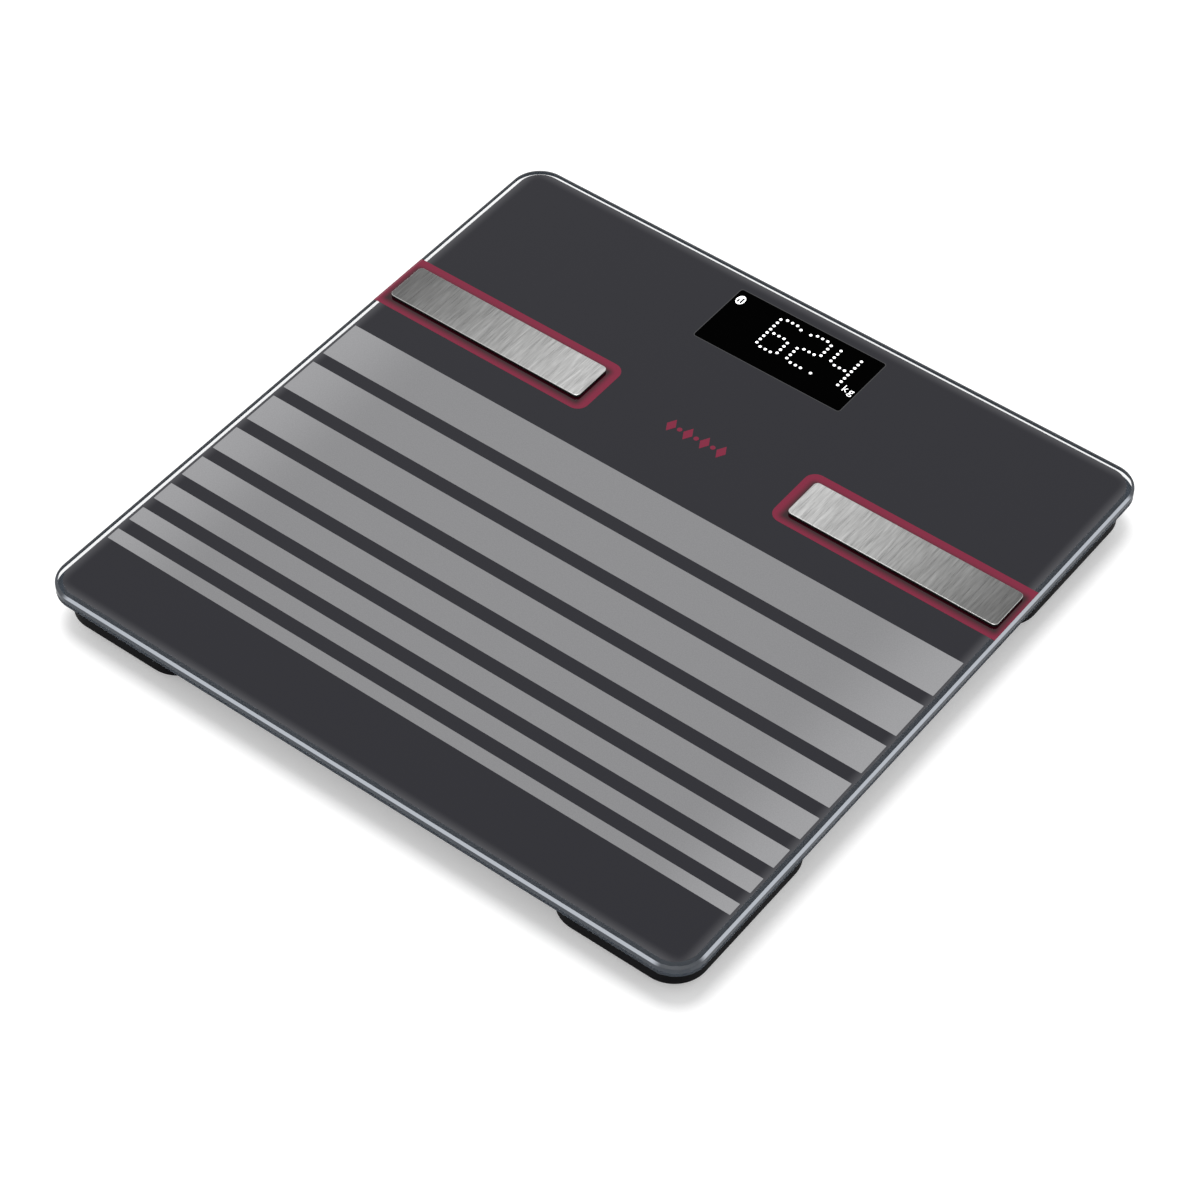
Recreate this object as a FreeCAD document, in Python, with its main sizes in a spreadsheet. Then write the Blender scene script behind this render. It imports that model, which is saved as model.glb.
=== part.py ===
"""Digital bathroom scale: a square glass plate on four sensing feet.

Frame: origin on the floor under the middle of the plate, +Z up, +Y towards the display,
+X to the right of a person who stands on the scale and reads it.  Millimetres.
"""
import FreeCAD, Part
import math
import os
import Sketcher
from FreeCAD import Vector

DOC = FreeCAD.newDocument("BathroomScale")

# ---------------------------------------------------------------------------------------
# Driving dimensions
# ---------------------------------------------------------------------------------------
DIMENSIONS = (
    # glass plate
    ("plate_width", 300), ("plate_corner", 13), ("plate_thick", 5), ("plate_top", 22),
    ("plate_bevel", 1),
    # foot electrodes on the glass
    ("electrode_long", 95.4), ("electrode_wide", 20), ("electrode_thick", 1.3),
    ("electrode_corner", 2), ("electrode_edge", 0.3), ("electrode_mid_x", 98.05),
    ("electrode_mid_y", 60.1), ("film_thick", 0.2), ("film_margin", 1.5),
    ("stud_offset", 30), ("stud_radius", 1.5), ("stud_bottom", 12.6), ("stud_hole", 2.6),
    ("terminal_thick", 0.6), ("terminal_radius", 3), ("terminal_hole", 1.6), ("tongue_reach", 3),
    ("barrel_wall", 0.4),
    ("barrel_long", 4), ("barrel_reach", 7), ("nut_flats", 5.5), ("nut_thick", 2.4),
    ("nut_hole", 1.55),
    # corner housings under the glass
    ("housing_wide", 63), ("housing_long", 82), ("housing_gap_x", 3.2), ("housing_gap_y", 4.1),
    ("housing_corner", 14), ("housing_wall", 3.2), ("housing_roof", 2.5),
    ("housing_bottom", 5), ("housing_round", 1),
    ("lid_thick", 1.6), ("lid_gap", 0.2), ("lid_hole", 18), ("lid_post_radius", 3.5),
    ("lid_post_y", 31), ("recess_radius", 2.8), ("recess_deep", 0.7),
    # load cells
    ("cell_side", 36), ("cell_thick", 2), ("cell_bottom", 9.5), ("cell_slot", 1.6),
    ("cell_tongue", 14), ("cell_root_y", 12), ("cell_tip_y", 8), ("cell_screw_x", 13.5),
    ("cell_boss_radius", 3.2), ("gauge_long", 6), ("gauge_wide", 5), ("gauge_thick", 0.4),
    ("gauge_y", 8),
    # feet
    ("foot_radius", 17), ("foot_wall", 1.6), ("foot_bottom", 1.5), ("foot_web_top", 4),
    ("foot_rim_top", 7), ("foot_post_radius", 6), ("pad_radius", 15), ("pad_thick", 2.5),
    ("pad_recess", 1), ("pad_gap", 0.1),
    # screws
    ("screw_radius", 1.05), ("screw_hole", 1.1), ("screw_clear", 1.4), ("head_radius", 2.2),
    ("head_thick", 1.2), ("cell_screw_long", 5.5), ("lid_screw_long", 6), ("foot_screw_long", 5.5),
    ("screw_end_gap", 0.3), ("slot_long", 2.4), ("slot_wide", 0.5), ("slot_deep", 0.5),
    ("cut_over", 1),
    # electronics case under the display
    ("case_wide", 150), ("case_long", 62), ("case_mid_y", 115), ("case_corner", 3),
    ("case_bottom", 3), ("case_roof", 1.2), ("case_wall", 2), ("case_round", 1),
    ("bay_wide", 33), ("bay_long", 50.4), ("bay_wall", 2.4), ("bay_front", 3),
    ("cover_thick", 2), ("cover_gap", 0.2), ("cover_post_radius", 3.2), ("cover_post_in", 4.5),
    ("cover_post_step", 9), ("cover_recess_deep", 1.3), ("cover_screw_long", 6),
    ("cover_hole_start", 0.1),
    # battery door
    ("door_thick", 1.2), ("door_lip", 0.8), ("door_lip_thick", 0.8), ("door_gap", 0.3),
    ("door_edge", 1), ("door_block", 3), ("door_rib_thick", 0.4), ("door_rib_wide", 14),
    ("door_rib_long", 1), ("door_rib_first", 6), ("door_rib_step", 3), ("door_rib_count", 4),
    # cells, springs and contact plates
    ("battery_radius", 5.15), ("battery_long", 43.5), ("nub_radius", 1.9), ("nub_long", 1),
    ("nub_root", 0.5), ("contact_wide", 9),
    ("battery_pitch", 10.9), ("battery_mid_z", 9.5), ("plate_metal", 0.4), ("plate_tall", 8),
    ("spring_radius", 3), ("spring_wire", 0.4), ("spring_turns", 4), ("wire_sides", 8),
    ("spring_gap", 0.05),
    # board and what it carries
    ("board_left", 35.8), ("board_right", 64.8), ("board_front", 88), ("board_back", 142),
    ("board_bottom", 10), ("board_thick", 1.6), ("display_wide", 70), ("display_long", 33),
    ("display_mid_y", 123.8), ("display_gap", 0.1), ("window_gap", 0.6), ("post_gap", 0.3),
    ("header_wide", 13), ("header_long", 5), ("header_tall", 2.4),
    ("chip_side", 10), ("chip_thick", 1.4), ("chip_x", 20), ("chip_y", 106), ("radio_wide", 12),
    ("radio_long", 17), ("radio_thick", 2), ("radio_x", -18), ("radio_y", 122),
    ("button_x", 58), ("button_y", 112), ("switch_side", 6),
    ("switch_tall", 3.1), ("plunger_radius", 1.7), ("plunger_bottom", 6.2),
    ("plunger_top", 7.3), ("plunger_bore", 1.8), ("plunger_bore_deep", 1.2),
    ("button_radius", 4), ("button_hole", 4.2), ("button_face", 2.8), ("button_flange", 5.2),
    ("button_flange_bottom", 5.3), ("button_flange_thick", 0.6),
    # leads
    ("lead_level", 12.4), ("cell_lead_radius", 0.9), ("electrode_lead_radius", 0.6),
    ("lead_hole", 1.2), ("front_lead_x", 22), ("electrode_lead_x", 26), ("back_lead_x", 30),
    ("back_lead_y", 72), ("back_lead_side_x", 79.4), ("lead_bend", 8), ("lead_tight_bend", 3.6),
    ("lead_dip_run", 10), ("lead_dip_bend", 9), ("electrode_lead_level", 16),
    ("clip_cross_x", 50),
    ("clip_wide", 8), ("clip_long", 5), ("clip_bottom", 10.6), ("clip_hole", 1),
    ("clip_first_y", -80), ("clip_step", 60), ("clip_count", 3),
)

SHEET = DOC.addObject("Spreadsheet::Sheet", "Sizes")
for row, (alias, number) in enumerate(DIMENSIONS, start=1):
    SHEET.set(f"A{row}", alias)
    SHEET.set(f"B{row}", str(number))
    SHEET.setAlias(f"B{row}", alias)
DOC.recompute()

ALIASES = sorted((alias for alias, number in DIMENSIONS), key=len, reverse=True)
LEFT, RIGHT = -1, 1
FRONT, BACK = -1, 1
CORNERS = (
    ("front_left", LEFT, FRONT), ("front_right", RIGHT, FRONT),
    ("back_left", LEFT, BACK), ("back_right", RIGHT, BACK),
)
SIDES = (("left", LEFT), ("right", RIGHT))
BATTERIES = 3
SAME_LEVEL = 1e-6
VOLUME_SLACK = 0.01
NODES = []


def linked(words):
    """Turn a formula written with the sheet's aliases into a FreeCAD expression."""
    out = []
    word = ""
    for letter in str(words) + " ":
        if letter.isalpha() or letter == "_":
            word += letter
            continue
        if word in ALIASES:
            word = "Sizes." + word
        out.append(word + letter)
        word = ""
    return "".join(out).strip()


def value(words):
    """The present value of a formula, as a plain number."""
    result = SHEET.evalExpression(linked(words))
    return float(getattr(result, "Value", result))


def bind(thing, prop, words):
    thing.setExpression(prop, linked(words))


def place(thing, x=0, y=0, z=0):
    """Put an object at formulas of the sheet's sizes."""
    for axis, words in zip("xyz", (x, y, z)):
        bind(thing, f"Placement.Base.{axis}", words)


def turn(thing, axis, degrees):
    base = thing.Placement.Base
    thing.Placement = FreeCAD.Placement(base, FreeCAD.Rotation(axis, degrees))


def node(thing, label):
    """Give a finished piece its own name and keep it for export."""
    thing.Label = label
    NODES.append(thing)
    return thing


# ---------------------------------------------------------------------------------------
# Part primitives and booleans, bound to the sheet
# ---------------------------------------------------------------------------------------
def box(name, wide, long, tall, x, y, z):
    """A box centred on x and y that stands on z."""
    made = DOC.addObject("Part::Box", name)
    bind(made, "Length", wide)
    bind(made, "Width", long)
    bind(made, "Height", tall)
    place(made, f"({x}) - ({wide}) / 2", f"({y}) - ({long}) / 2", z)
    return made


def cylinder(name, radius, tall, x, y, z, axis=None):
    """A cylinder whose start is at x, y, z; it runs up, or along the axis given."""
    made = DOC.addObject("Part::Cylinder", name)
    bind(made, "Radius", radius)
    bind(made, "Height", tall)
    if axis == "X":
        turn(made, Vector(0, 1, 0), 90)
    if axis == "Y":
        turn(made, Vector(1, 0, 0), -90)
    place(made, x, y, z)
    return made


def hexagon(name, flats, tall, x, y, z):
    made = DOC.addObject("Part::Prism", name)
    made.Polygon = 6
    bind(made, "Circumradius", f"({flats}) / 2 / cos(30)")
    bind(made, "Height", tall)
    place(made, x, y, z)
    return made


def fuse(name, pieces):
    made = DOC.addObject("Part::MultiFuse", name)
    made.Shapes = pieces
    return made


def group(name, pieces):
    """Separate solids that share one node."""
    made = DOC.addObject("Part::Compound", name)
    made.Links = pieces
    return made


def cut(name, base, tools):
    made = DOC.addObject("Part::Cut", name)
    made.Base = base
    made.Tool = tools[0] if len(tools) == 1 else fuse(name + "_tools", tools)
    return made


# ---------------------------------------------------------------------------------------
# PartDesign bodies with sketches on their own origin planes
# ---------------------------------------------------------------------------------------
def origin_plane(body, role):
    return next(item for item in body.Origin.OriginFeatures if item.Role == role)


def constrain(sketch, *facts):
    return sketch.addConstraint(Sketcher.Constraint(*facts))


def rounded_sketch(body, name, wide, long, corner, level):
    """A centred rectangle with round corners on the body's XY plane, lifted to a level."""
    sketch = body.newObject("Sketcher::SketchObject", name)
    sketch.AttachmentSupport = [(origin_plane(body, "XY_Plane"), "")]
    sketch.MapMode = "FlatFace"
    bind(sketch, "AttachmentOffset.Base.z", level)
    half_x = value(wide) / 2
    half_y = value(long) / 2
    radius = value(corner)
    flat_x = half_x - radius
    flat_y = half_y - radius
    line = Part.LineSegment
    sketch.addGeometry(line(Vector(-flat_x, -half_y), Vector(flat_x, -half_y)), False)
    sketch.addGeometry(line(Vector(half_x, -flat_y), Vector(half_x, flat_y)), False)
    sketch.addGeometry(line(Vector(flat_x, half_y), Vector(-flat_x, half_y)), False)
    sketch.addGeometry(line(Vector(-half_x, flat_y), Vector(-half_x, -flat_y)), False)
    for quarter, (side_x, side_y) in enumerate(((1, -1), (1, 1), (-1, 1), (-1, -1))):
        circle = Part.Circle(Vector(side_x * flat_x, side_y * flat_y), Vector(0, 0, 1), radius)
        start = math.radians(90 * quarter - 90)
        sketch.addGeometry(Part.ArcOfCircle(circle, start, start + math.pi / 2), False)
    for side in range(4):
        constrain(sketch, "Tangent", side, 2, side + 4, 1)
        constrain(sketch, "Tangent", side + 4, 2, (side + 1) % 4, 1)
    for side, kind in enumerate(("Horizontal", "Vertical", "Horizontal", "Vertical")):
        constrain(sketch, kind, side)
    for arc in (5, 6):
        constrain(sketch, "Equal", 4, arc)
    constrain(sketch, "Symmetric", 4, 3, 6, 3, -1, 1)
    for kind, first, last, words in (("DistanceX", 3, 1, wide), ("DistanceY", 0, 2, long)):
        index = constrain(sketch, kind, first, 1, last, 1, value(words))
        sketch.setExpression(f"Constraints[{index}]", linked(words))
    index = constrain(sketch, "Radius", 4, radius)
    sketch.setExpression(f"Constraints[{index}]", linked(corner))
    return sketch


def circle_sketch(body, name, radius, spots, level):
    """Circles of one radius at the spots given, on the body's XY plane at a level."""
    sketch = body.newObject("Sketcher::SketchObject", name)
    sketch.AttachmentSupport = [(origin_plane(body, "XY_Plane"), "")]
    sketch.MapMode = "FlatFace"
    bind(sketch, "AttachmentOffset.Base.z", level)
    for number, (x, y) in enumerate(spots):
        centre = Vector(value(x), value(y))
        sketch.addGeometry(Part.Circle(centre, Vector(0, 0, 1), value(radius)), False)
        index = constrain(sketch, "Radius", number, value(radius))
        sketch.setExpression(f"Constraints[{index}]", linked(radius))
        for kind, words in (("DistanceX", x), ("DistanceY", y)):
            index = constrain(sketch, kind, -1, 1, number, 3, value(words))
            sketch.setExpression(f"Constraints[{index}]", linked(words))
    return sketch


def pad(body, name, sketch, tall):
    made = body.newObject("PartDesign::Pad", name)
    made.Profile = sketch
    bind(made, "Length", tall)
    return made


def pocket(body, name, sketch, deep, upwards=True):
    """Remove material from the sketch's level: upwards, or down into the piece."""
    DOC.recompute()
    before = body.Shape.Volume
    made = body.newObject("PartDesign::Pocket", name)
    made.Profile = sketch
    bind(made, "Length", deep)
    made.Reversed = upwards
    DOC.recompute()
    if made.Shape.Volume >= before:
        raise RuntimeError(f"{name} removes nothing")
    return made


def edges_at(shape, level):
    """Names of the edges that lie flat at a level."""
    names = []
    for number, edge in enumerate(shape.Edges, start=1):
        bounds = edge.BoundBox
        if abs(bounds.ZMin - level) < SAME_LEVEL and abs(bounds.ZMax - level) < SAME_LEVEL:
            names.append(f"Edge{number}")
    return names


def dress(body, kind, name, size_name, words, levels):
    """A Fillet or Chamfer along every edge at the levels given."""
    DOC.recompute()
    tip = body.Tip
    names = []
    for level in levels:
        names += edges_at(tip.Shape, value(level))
    made = body.newObject(f"PartDesign::{kind}", name)
    made.Base = (tip, names)
    bind(made, size_name, words)
    body.Tip = made
    return made


def new_body(name):
    return DOC.addObject("PartDesign::Body", name)


# ---------------------------------------------------------------------------------------
# Glass plate and its electrodes
# ---------------------------------------------------------------------------------------
STUD_X = "electrode_mid_x - stud_offset"
UNDER = "plate_top - plate_thick"


def make_glass():
    body = new_body("GlassPlate")
    outline = rounded_sketch(body, "GlassOutline", "plate_width", "plate_width", "plate_corner", UNDER)
    pad(body, "GlassPad", outline, "plate_thick")
    dress(body, "Chamfer", "GlassBevel", "Size", "plate_bevel", (UNDER, "plate_top"))
    spots = [(f"{side} * ({STUD_X})", "electrode_mid_y") for label, side in SIDES]
    holes = circle_sketch(body, "StudHoles", "stud_hole", spots, UNDER)
    pocket(body, "StudHolePocket", holes, "plate_thick")
    node(body, "glass_plate")


def make_electrode(label, side):
    """A brushed plate glued on the glass, with a welded stud that passes through it."""
    low = "plate_top + film_thick"
    body = new_body(f"Electrode_{label}")
    outline = rounded_sketch(
        body, f"ElectrodeOutline_{label}", "electrode_long", "electrode_wide", "electrode_corner", low)
    pad(body, f"ElectrodePad_{label}", outline, "electrode_thick")
    dress(body, "Fillet", f"ElectrodeEdge_{label}", "Radius", "electrode_edge",
          (low + " + electrode_thick",))
    stud = circle_sketch(
        body, f"StudOutline_{label}", "stud_radius", [(f"{-side} * stud_offset", "0")], "stud_bottom")
    pad(body, f"StudPad_{label}", stud, f"{low} - stud_bottom + electrode_thick / 2")
    place(body, f"{side} * electrode_mid_x", "electrode_mid_y")
    node(body, f"electrode_{label}")

    film = new_body(f"Film_{label}")
    sheet = rounded_sketch(
        film, f"FilmOutline_{label}", "electrode_long - 2 * film_margin",
        "electrode_wide - 2 * film_margin", "electrode_corner", "plate_top")
    pad(film, f"FilmPad_{label}", sheet, "film_thick")
    gap = circle_sketch(
        film, f"FilmHole_{label}", "stud_hole", [(f"{-side} * stud_offset", "0")], "plate_top")
    pocket(film, f"FilmPocket_{label}", gap, "film_thick")
    place(film, f"{side} * electrode_mid_x", "electrode_mid_y")
    node(film, f"electrode_film_{label}")


def make_terminal(label, side):
    """A ring terminal under the glass, its crimp barrel towards the middle."""
    x = f"{side} * ({STUD_X})"
    low = f"{UNDER} - terminal_thick"
    ring = cylinder(f"TerminalRing_{label}", "terminal_radius", "terminal_thick", x, "electrode_mid_y", low)
    tongue_long = "terminal_radius + tongue_reach"
    tongue = box(f"TerminalTongue_{label}", tongue_long, "terminal_radius", "terminal_thick",
                 f"{side} * ({STUD_X} - ({tongue_long}) / 2)", "electrode_mid_y", low)
    barrel = cylinder(f"TerminalBarrel_{label}", "electrode_lead_radius + barrel_wall", "barrel_long",
                      f"{side} * ({STUD_X} - barrel_reach) - barrel_long / 2", "electrode_mid_y",
                      "electrode_lead_level", axis="X")
    bore = cylinder(f"TerminalBore_{label}", "electrode_lead_radius", "barrel_long + 2 * cut_over",
                    f"{side} * ({STUD_X} - barrel_reach) - barrel_long / 2 - cut_over", "electrode_mid_y",
                    "electrode_lead_level", axis="X")
    hole = cylinder(f"TerminalHole_{label}", "terminal_hole", "terminal_thick + cut_over", x,
                    "electrode_mid_y", low)
    whole = fuse(f"TerminalWhole_{label}", [ring, tongue, barrel])
    node(cut(f"Terminal_{label}", whole, [bore, hole]), f"ring_terminal_{label}")


def make_nuts():
    nuts = []
    for label, side in SIDES:
        x = f"{side} * ({STUD_X})"
        low = f"{UNDER} - terminal_thick - nut_thick"
        solid = hexagon(f"NutSolid_{label}", "nut_flats", "nut_thick", x, "electrode_mid_y", low)
        hole = cylinder(f"NutHole_{label}", "nut_hole", "nut_thick + 2 * cut_over", x,
                        "electrode_mid_y", f"{low} - cut_over")
        nuts.append(cut(f"Nut_{label}", solid, [hole]))
    node(group("Nuts", nuts), "electrode_nuts")


# ---------------------------------------------------------------------------------------
# Corner units: housing, lid, load cell, foot
# ---------------------------------------------------------------------------------------
ROOF = f"{UNDER} - housing_roof"
CELL_TOP = "cell_bottom + cell_thick"
LID_TOP = "housing_bottom + lid_thick"
FOOT_BORE = "foot_screw_long - cell_thick + screw_end_gap"


def corner_x(side):
    return f"{side} * (plate_width / 2 - housing_gap_x - housing_wide / 2)"


def corner_y(end):
    return f"{end} * (plate_width / 2 - housing_gap_y - housing_long / 2)"


def cell_screw_spots():
    return [("-cell_screw_x", "0"), ("cell_screw_x", "0")]


def lid_screw_spots():
    return [("0", "-lid_post_y"), ("0", "lid_post_y")]


def make_housing(label, side, end):
    """A cup, open downwards, whose roof is glued to the glass."""
    body = new_body(f"Housing_{label}")
    outer = rounded_sketch(
        body, f"HousingOuter_{label}", "housing_wide", "housing_long", "housing_corner", "housing_bottom")
    pad(body, f"HousingPad_{label}", outer, f"{UNDER} - housing_bottom")
    dress(body, "Fillet", f"HousingRound_{label}", "Radius", "housing_round", ("housing_bottom",))
    inner = rounded_sketch(
        body, f"HousingInner_{label}", "housing_wide - 2 * housing_wall",
        "housing_long - 2 * housing_wall", "housing_corner - housing_wall", "housing_bottom")
    pocket(body, f"HousingCavity_{label}", inner, f"{ROOF} - housing_bottom")
    bosses = circle_sketch(body, f"CellBosses_{label}", "cell_boss_radius", cell_screw_spots(), CELL_TOP)
    pad(body, f"CellBossPad_{label}", bosses, f"{UNDER} - housing_roof / 2 - ({CELL_TOP})")
    posts = circle_sketch(body, f"LidPosts_{label}", "lid_post_radius", lid_screw_spots(), LID_TOP)
    pad(body, f"LidPostPad_{label}", posts, f"{UNDER} - housing_roof / 2 - ({LID_TOP})")
    boss_holes = circle_sketch(body, f"BossHoles_{label}", "screw_hole", cell_screw_spots(), CELL_TOP)
    pocket(body, f"BossHolePocket_{label}", boss_holes, "cell_screw_long - cell_thick")
    post_holes = circle_sketch(body, f"PostHoles_{label}", "screw_hole", lid_screw_spots(), LID_TOP)
    pocket(body, f"PostHolePocket_{label}", post_holes,
           "lid_screw_long - lid_thick + recess_deep + screw_end_gap")
    place(body, corner_x(side), corner_y(end))
    notch_x = f"{side} * (plate_width / 2 - housing_gap_x - housing_wide + housing_wall / 2)"
    notch = cylinder(f"LeadHole_{label}", "lead_hole", "3 * housing_wall",
                     f"{notch_x} - 1.5 * housing_wall", lead_start_y(end), "lead_level", axis="X")
    node(cut(f"HousingWithHole_{label}", body, [notch]), f"corner_housing_{label}")


def lead_start_y(end):
    """The lead leaves the gauge, which lies on the tongue's root towards the scale's middle."""
    return f"{corner_y(end)} - {end} * gauge_y"


def make_lid(label, side, end):
    body = new_body(f"Lid_{label}")
    trim = "2 * (housing_wall + lid_gap)"
    outline = rounded_sketch(
        body, f"LidOutline_{label}", f"housing_wide - {trim}", f"housing_long - {trim}",
        "housing_corner - housing_wall - lid_gap", "housing_bottom")
    pad(body, f"LidPad_{label}", outline, "lid_thick")
    opening = circle_sketch(body, f"LidOpening_{label}", "lid_hole", [("0", "0")], "housing_bottom")
    pocket(body, f"LidOpeningPocket_{label}", opening, "lid_thick")
    holes = circle_sketch(body, f"LidHoles_{label}", "screw_clear", lid_screw_spots(), "housing_bottom")
    pocket(body, f"LidHolePocket_{label}", holes, "lid_thick")
    sinks = circle_sketch(body, f"LidSinks_{label}", "recess_radius", lid_screw_spots(), "housing_bottom")
    pocket(body, f"LidSinkPocket_{label}", sinks, "recess_deep")
    place(body, corner_x(side), corner_y(end))
    node(body, f"corner_lid_{label}")


def make_load_cell(label, side, end):
    """A square steel plate with a tongue cut free on three sides."""
    x = corner_x(side)
    y = corner_y(end)
    middle = "cell_tongue / 2 + cell_slot / 2"
    plate = box(f"CellPlate_{label}", "cell_side", "cell_side", "cell_thick", x, y, "cell_bottom")
    tools = []
    for name, way in SIDES:
        tools.append(box(f"CellSlot_{label}_{name}", "cell_slot", "cell_root_y + cell_tip_y",
                         "cell_thick + 2 * cut_over", f"{x} + {way} * ({middle})",
                         f"{y} + {end} * (cell_tip_y - cell_root_y) / 2", "cell_bottom - cut_over"))
    tools.append(box(f"CellSlot_{label}_tip", "cell_tongue + 2 * cell_slot", "cell_slot",
                     "cell_thick + 2 * cut_over", x, f"{y} + {end} * (cell_tip_y - cell_slot / 2)",
                     "cell_bottom - cut_over"))
    for number, (dx, dy) in enumerate(cell_screw_spots() + [("0", "0")]):
        tools.append(cylinder(f"CellHole_{label}_{number}", "screw_clear", "cell_thick + 2 * cut_over",
                              f"{x} + {dx}", f"{y} + {dy}", "cell_bottom - cut_over"))
    node(cut(f"Cell_{label}", plate, tools), f"load_cell_{label}")


def make_gauges():
    patches = []
    for label, side, end in CORNERS:
        patches.append(box(f"Gauge_{label}", "gauge_wide", "gauge_long", "gauge_thick",
                           corner_x(side), lead_start_y(end), CELL_TOP))
    node(group("Gauges", patches), "strain_gauges")


def make_foot(label, side, end):
    """A stiff cup with a central post, a rubber pad in its underside and one screw."""
    x = corner_x(side)
    y = corner_y(end)
    skirt = cylinder(f"FootSkirt_{label}", "foot_radius", "foot_rim_top - foot_bottom", x, y,
                     "foot_bottom")
    hollow = cylinder(f"FootHollow_{label}", "foot_radius - foot_wall", "foot_rim_top", x, y,
                      "foot_web_top")
    cup = cut(f"FootCup_{label}", skirt, [hollow])
    post = cylinder(f"FootPost_{label}", "foot_post_radius", "cell_bottom - foot_bottom", x, y,
                    "foot_bottom")
    solid = fuse(f"FootSolid_{label}", [cup, post])
    recess = cylinder(f"PadRecess_{label}", "pad_radius + pad_gap", "pad_recess", x, y, "foot_bottom")
    bore = cylinder(f"FootBore_{label}", "screw_hole", FOOT_BORE,
                    x, y, f"cell_bottom - ({FOOT_BORE})")
    node(cut(f"Foot_{label}", solid, [recess, bore]), f"foot_cup_{label}")
    node(cylinder(f"Pad_{label}", "pad_radius", "pad_thick", x, y, "0"), f"foot_pad_{label}")
    node(screw(f"FootScrew_{label}", "foot_screw_long", x, y, CELL_TOP, LEFT), f"foot_screw_{label}")


def screw(name, shank, x, y, seat, way):
    """A pan-head screw that runs up from its seat (way 1) or down from it (way -1)."""
    head_low = f"{seat} - head_thick" if way == RIGHT else seat
    shank_low = seat if way == RIGHT else f"{seat} - {shank}"
    head = cylinder(f"{name}_head", "head_radius", "head_thick", x, y, head_low)
    core = cylinder(f"{name}_shank", "screw_radius", shank, x, y, shank_low)
    body = fuse(f"{name}_body", [head, core])
    slot_low = head_low if way == RIGHT else f"{seat} + head_thick - slot_deep"
    slots = [box(f"{name}_slot_a", "slot_long", "slot_wide", "slot_deep", x, y, slot_low),
             box(f"{name}_slot_b", "slot_wide", "slot_long", "slot_deep", x, y, slot_low)]
    return cut(name, body, slots)


def make_corner_screws():
    cell_screws = []
    lid_screws = []
    for label, side, end in CORNERS:
        x = corner_x(side)
        y = corner_y(end)
        for number, (dx, dy) in enumerate(cell_screw_spots()):
            cell_screws.append(screw(f"CellScrew_{label}_{number}", "(cell_screw_long - screw_end_gap)",
                                     f"{x} + {dx}", f"{y} + {dy}", "cell_bottom", RIGHT))
        for number, (dx, dy) in enumerate(lid_screw_spots()):
            lid_screws.append(screw(f"LidScrew_{label}_{number}", "lid_screw_long",
                                    f"{x} + {dx}", f"{y} + {dy}", "housing_bottom + recess_deep", RIGHT))
    node(group("CellScrews", cell_screws), "load_cell_screws")
    node(group("LidScrews", lid_screws), "corner_lid_screws")


# ---------------------------------------------------------------------------------------
# Electronics case, battery bay and door
# ---------------------------------------------------------------------------------------
CASE_ROOF = f"{UNDER} - case_roof"
INNER_X = "case_wide / 2 - case_wall"
BAY_MID_X = f"-({INNER_X} - bay_wide / 2)"
BAY_FRONT_Y = "case_mid_y - case_long / 2 + case_wall + bay_front"
BAY_MID_Y = f"({BAY_FRONT_Y} + bay_long / 2)"
COVER_LEFT = f"({INNER_X} - bay_wide - bay_wall)"
COVER_WIDE = f"({INNER_X} + {COVER_LEFT})"
COVER_MID_X = f"({INNER_X} - {COVER_LEFT}) / 2"
COVER_LONG = "(case_long - 2 * case_wall)"
COVER_TOP = "case_bottom + cover_thick"


def cover_screw_spots():
    """Four screws round the display: by the bay, between the headers and at the right end."""
    near = f"case_mid_y - {COVER_LONG} / 2 + cover_post_in"
    far = f"case_mid_y + {COVER_LONG} / 2 - cover_post_in"
    left = f"{COVER_MID_X} - {COVER_WIDE} / 2 + cover_post_in"
    right = f"{COVER_MID_X} + {COVER_WIDE} / 2 - cover_post_in"
    return [(left, f"{near} + cover_post_step"), ("0", near), (right, near), (right, far)]


def lead_entries():
    return [f"{side} * {name}" for label, side in SIDES
            for name in ("front_lead_x", "electrode_lead_x", "back_lead_x")]


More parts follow.
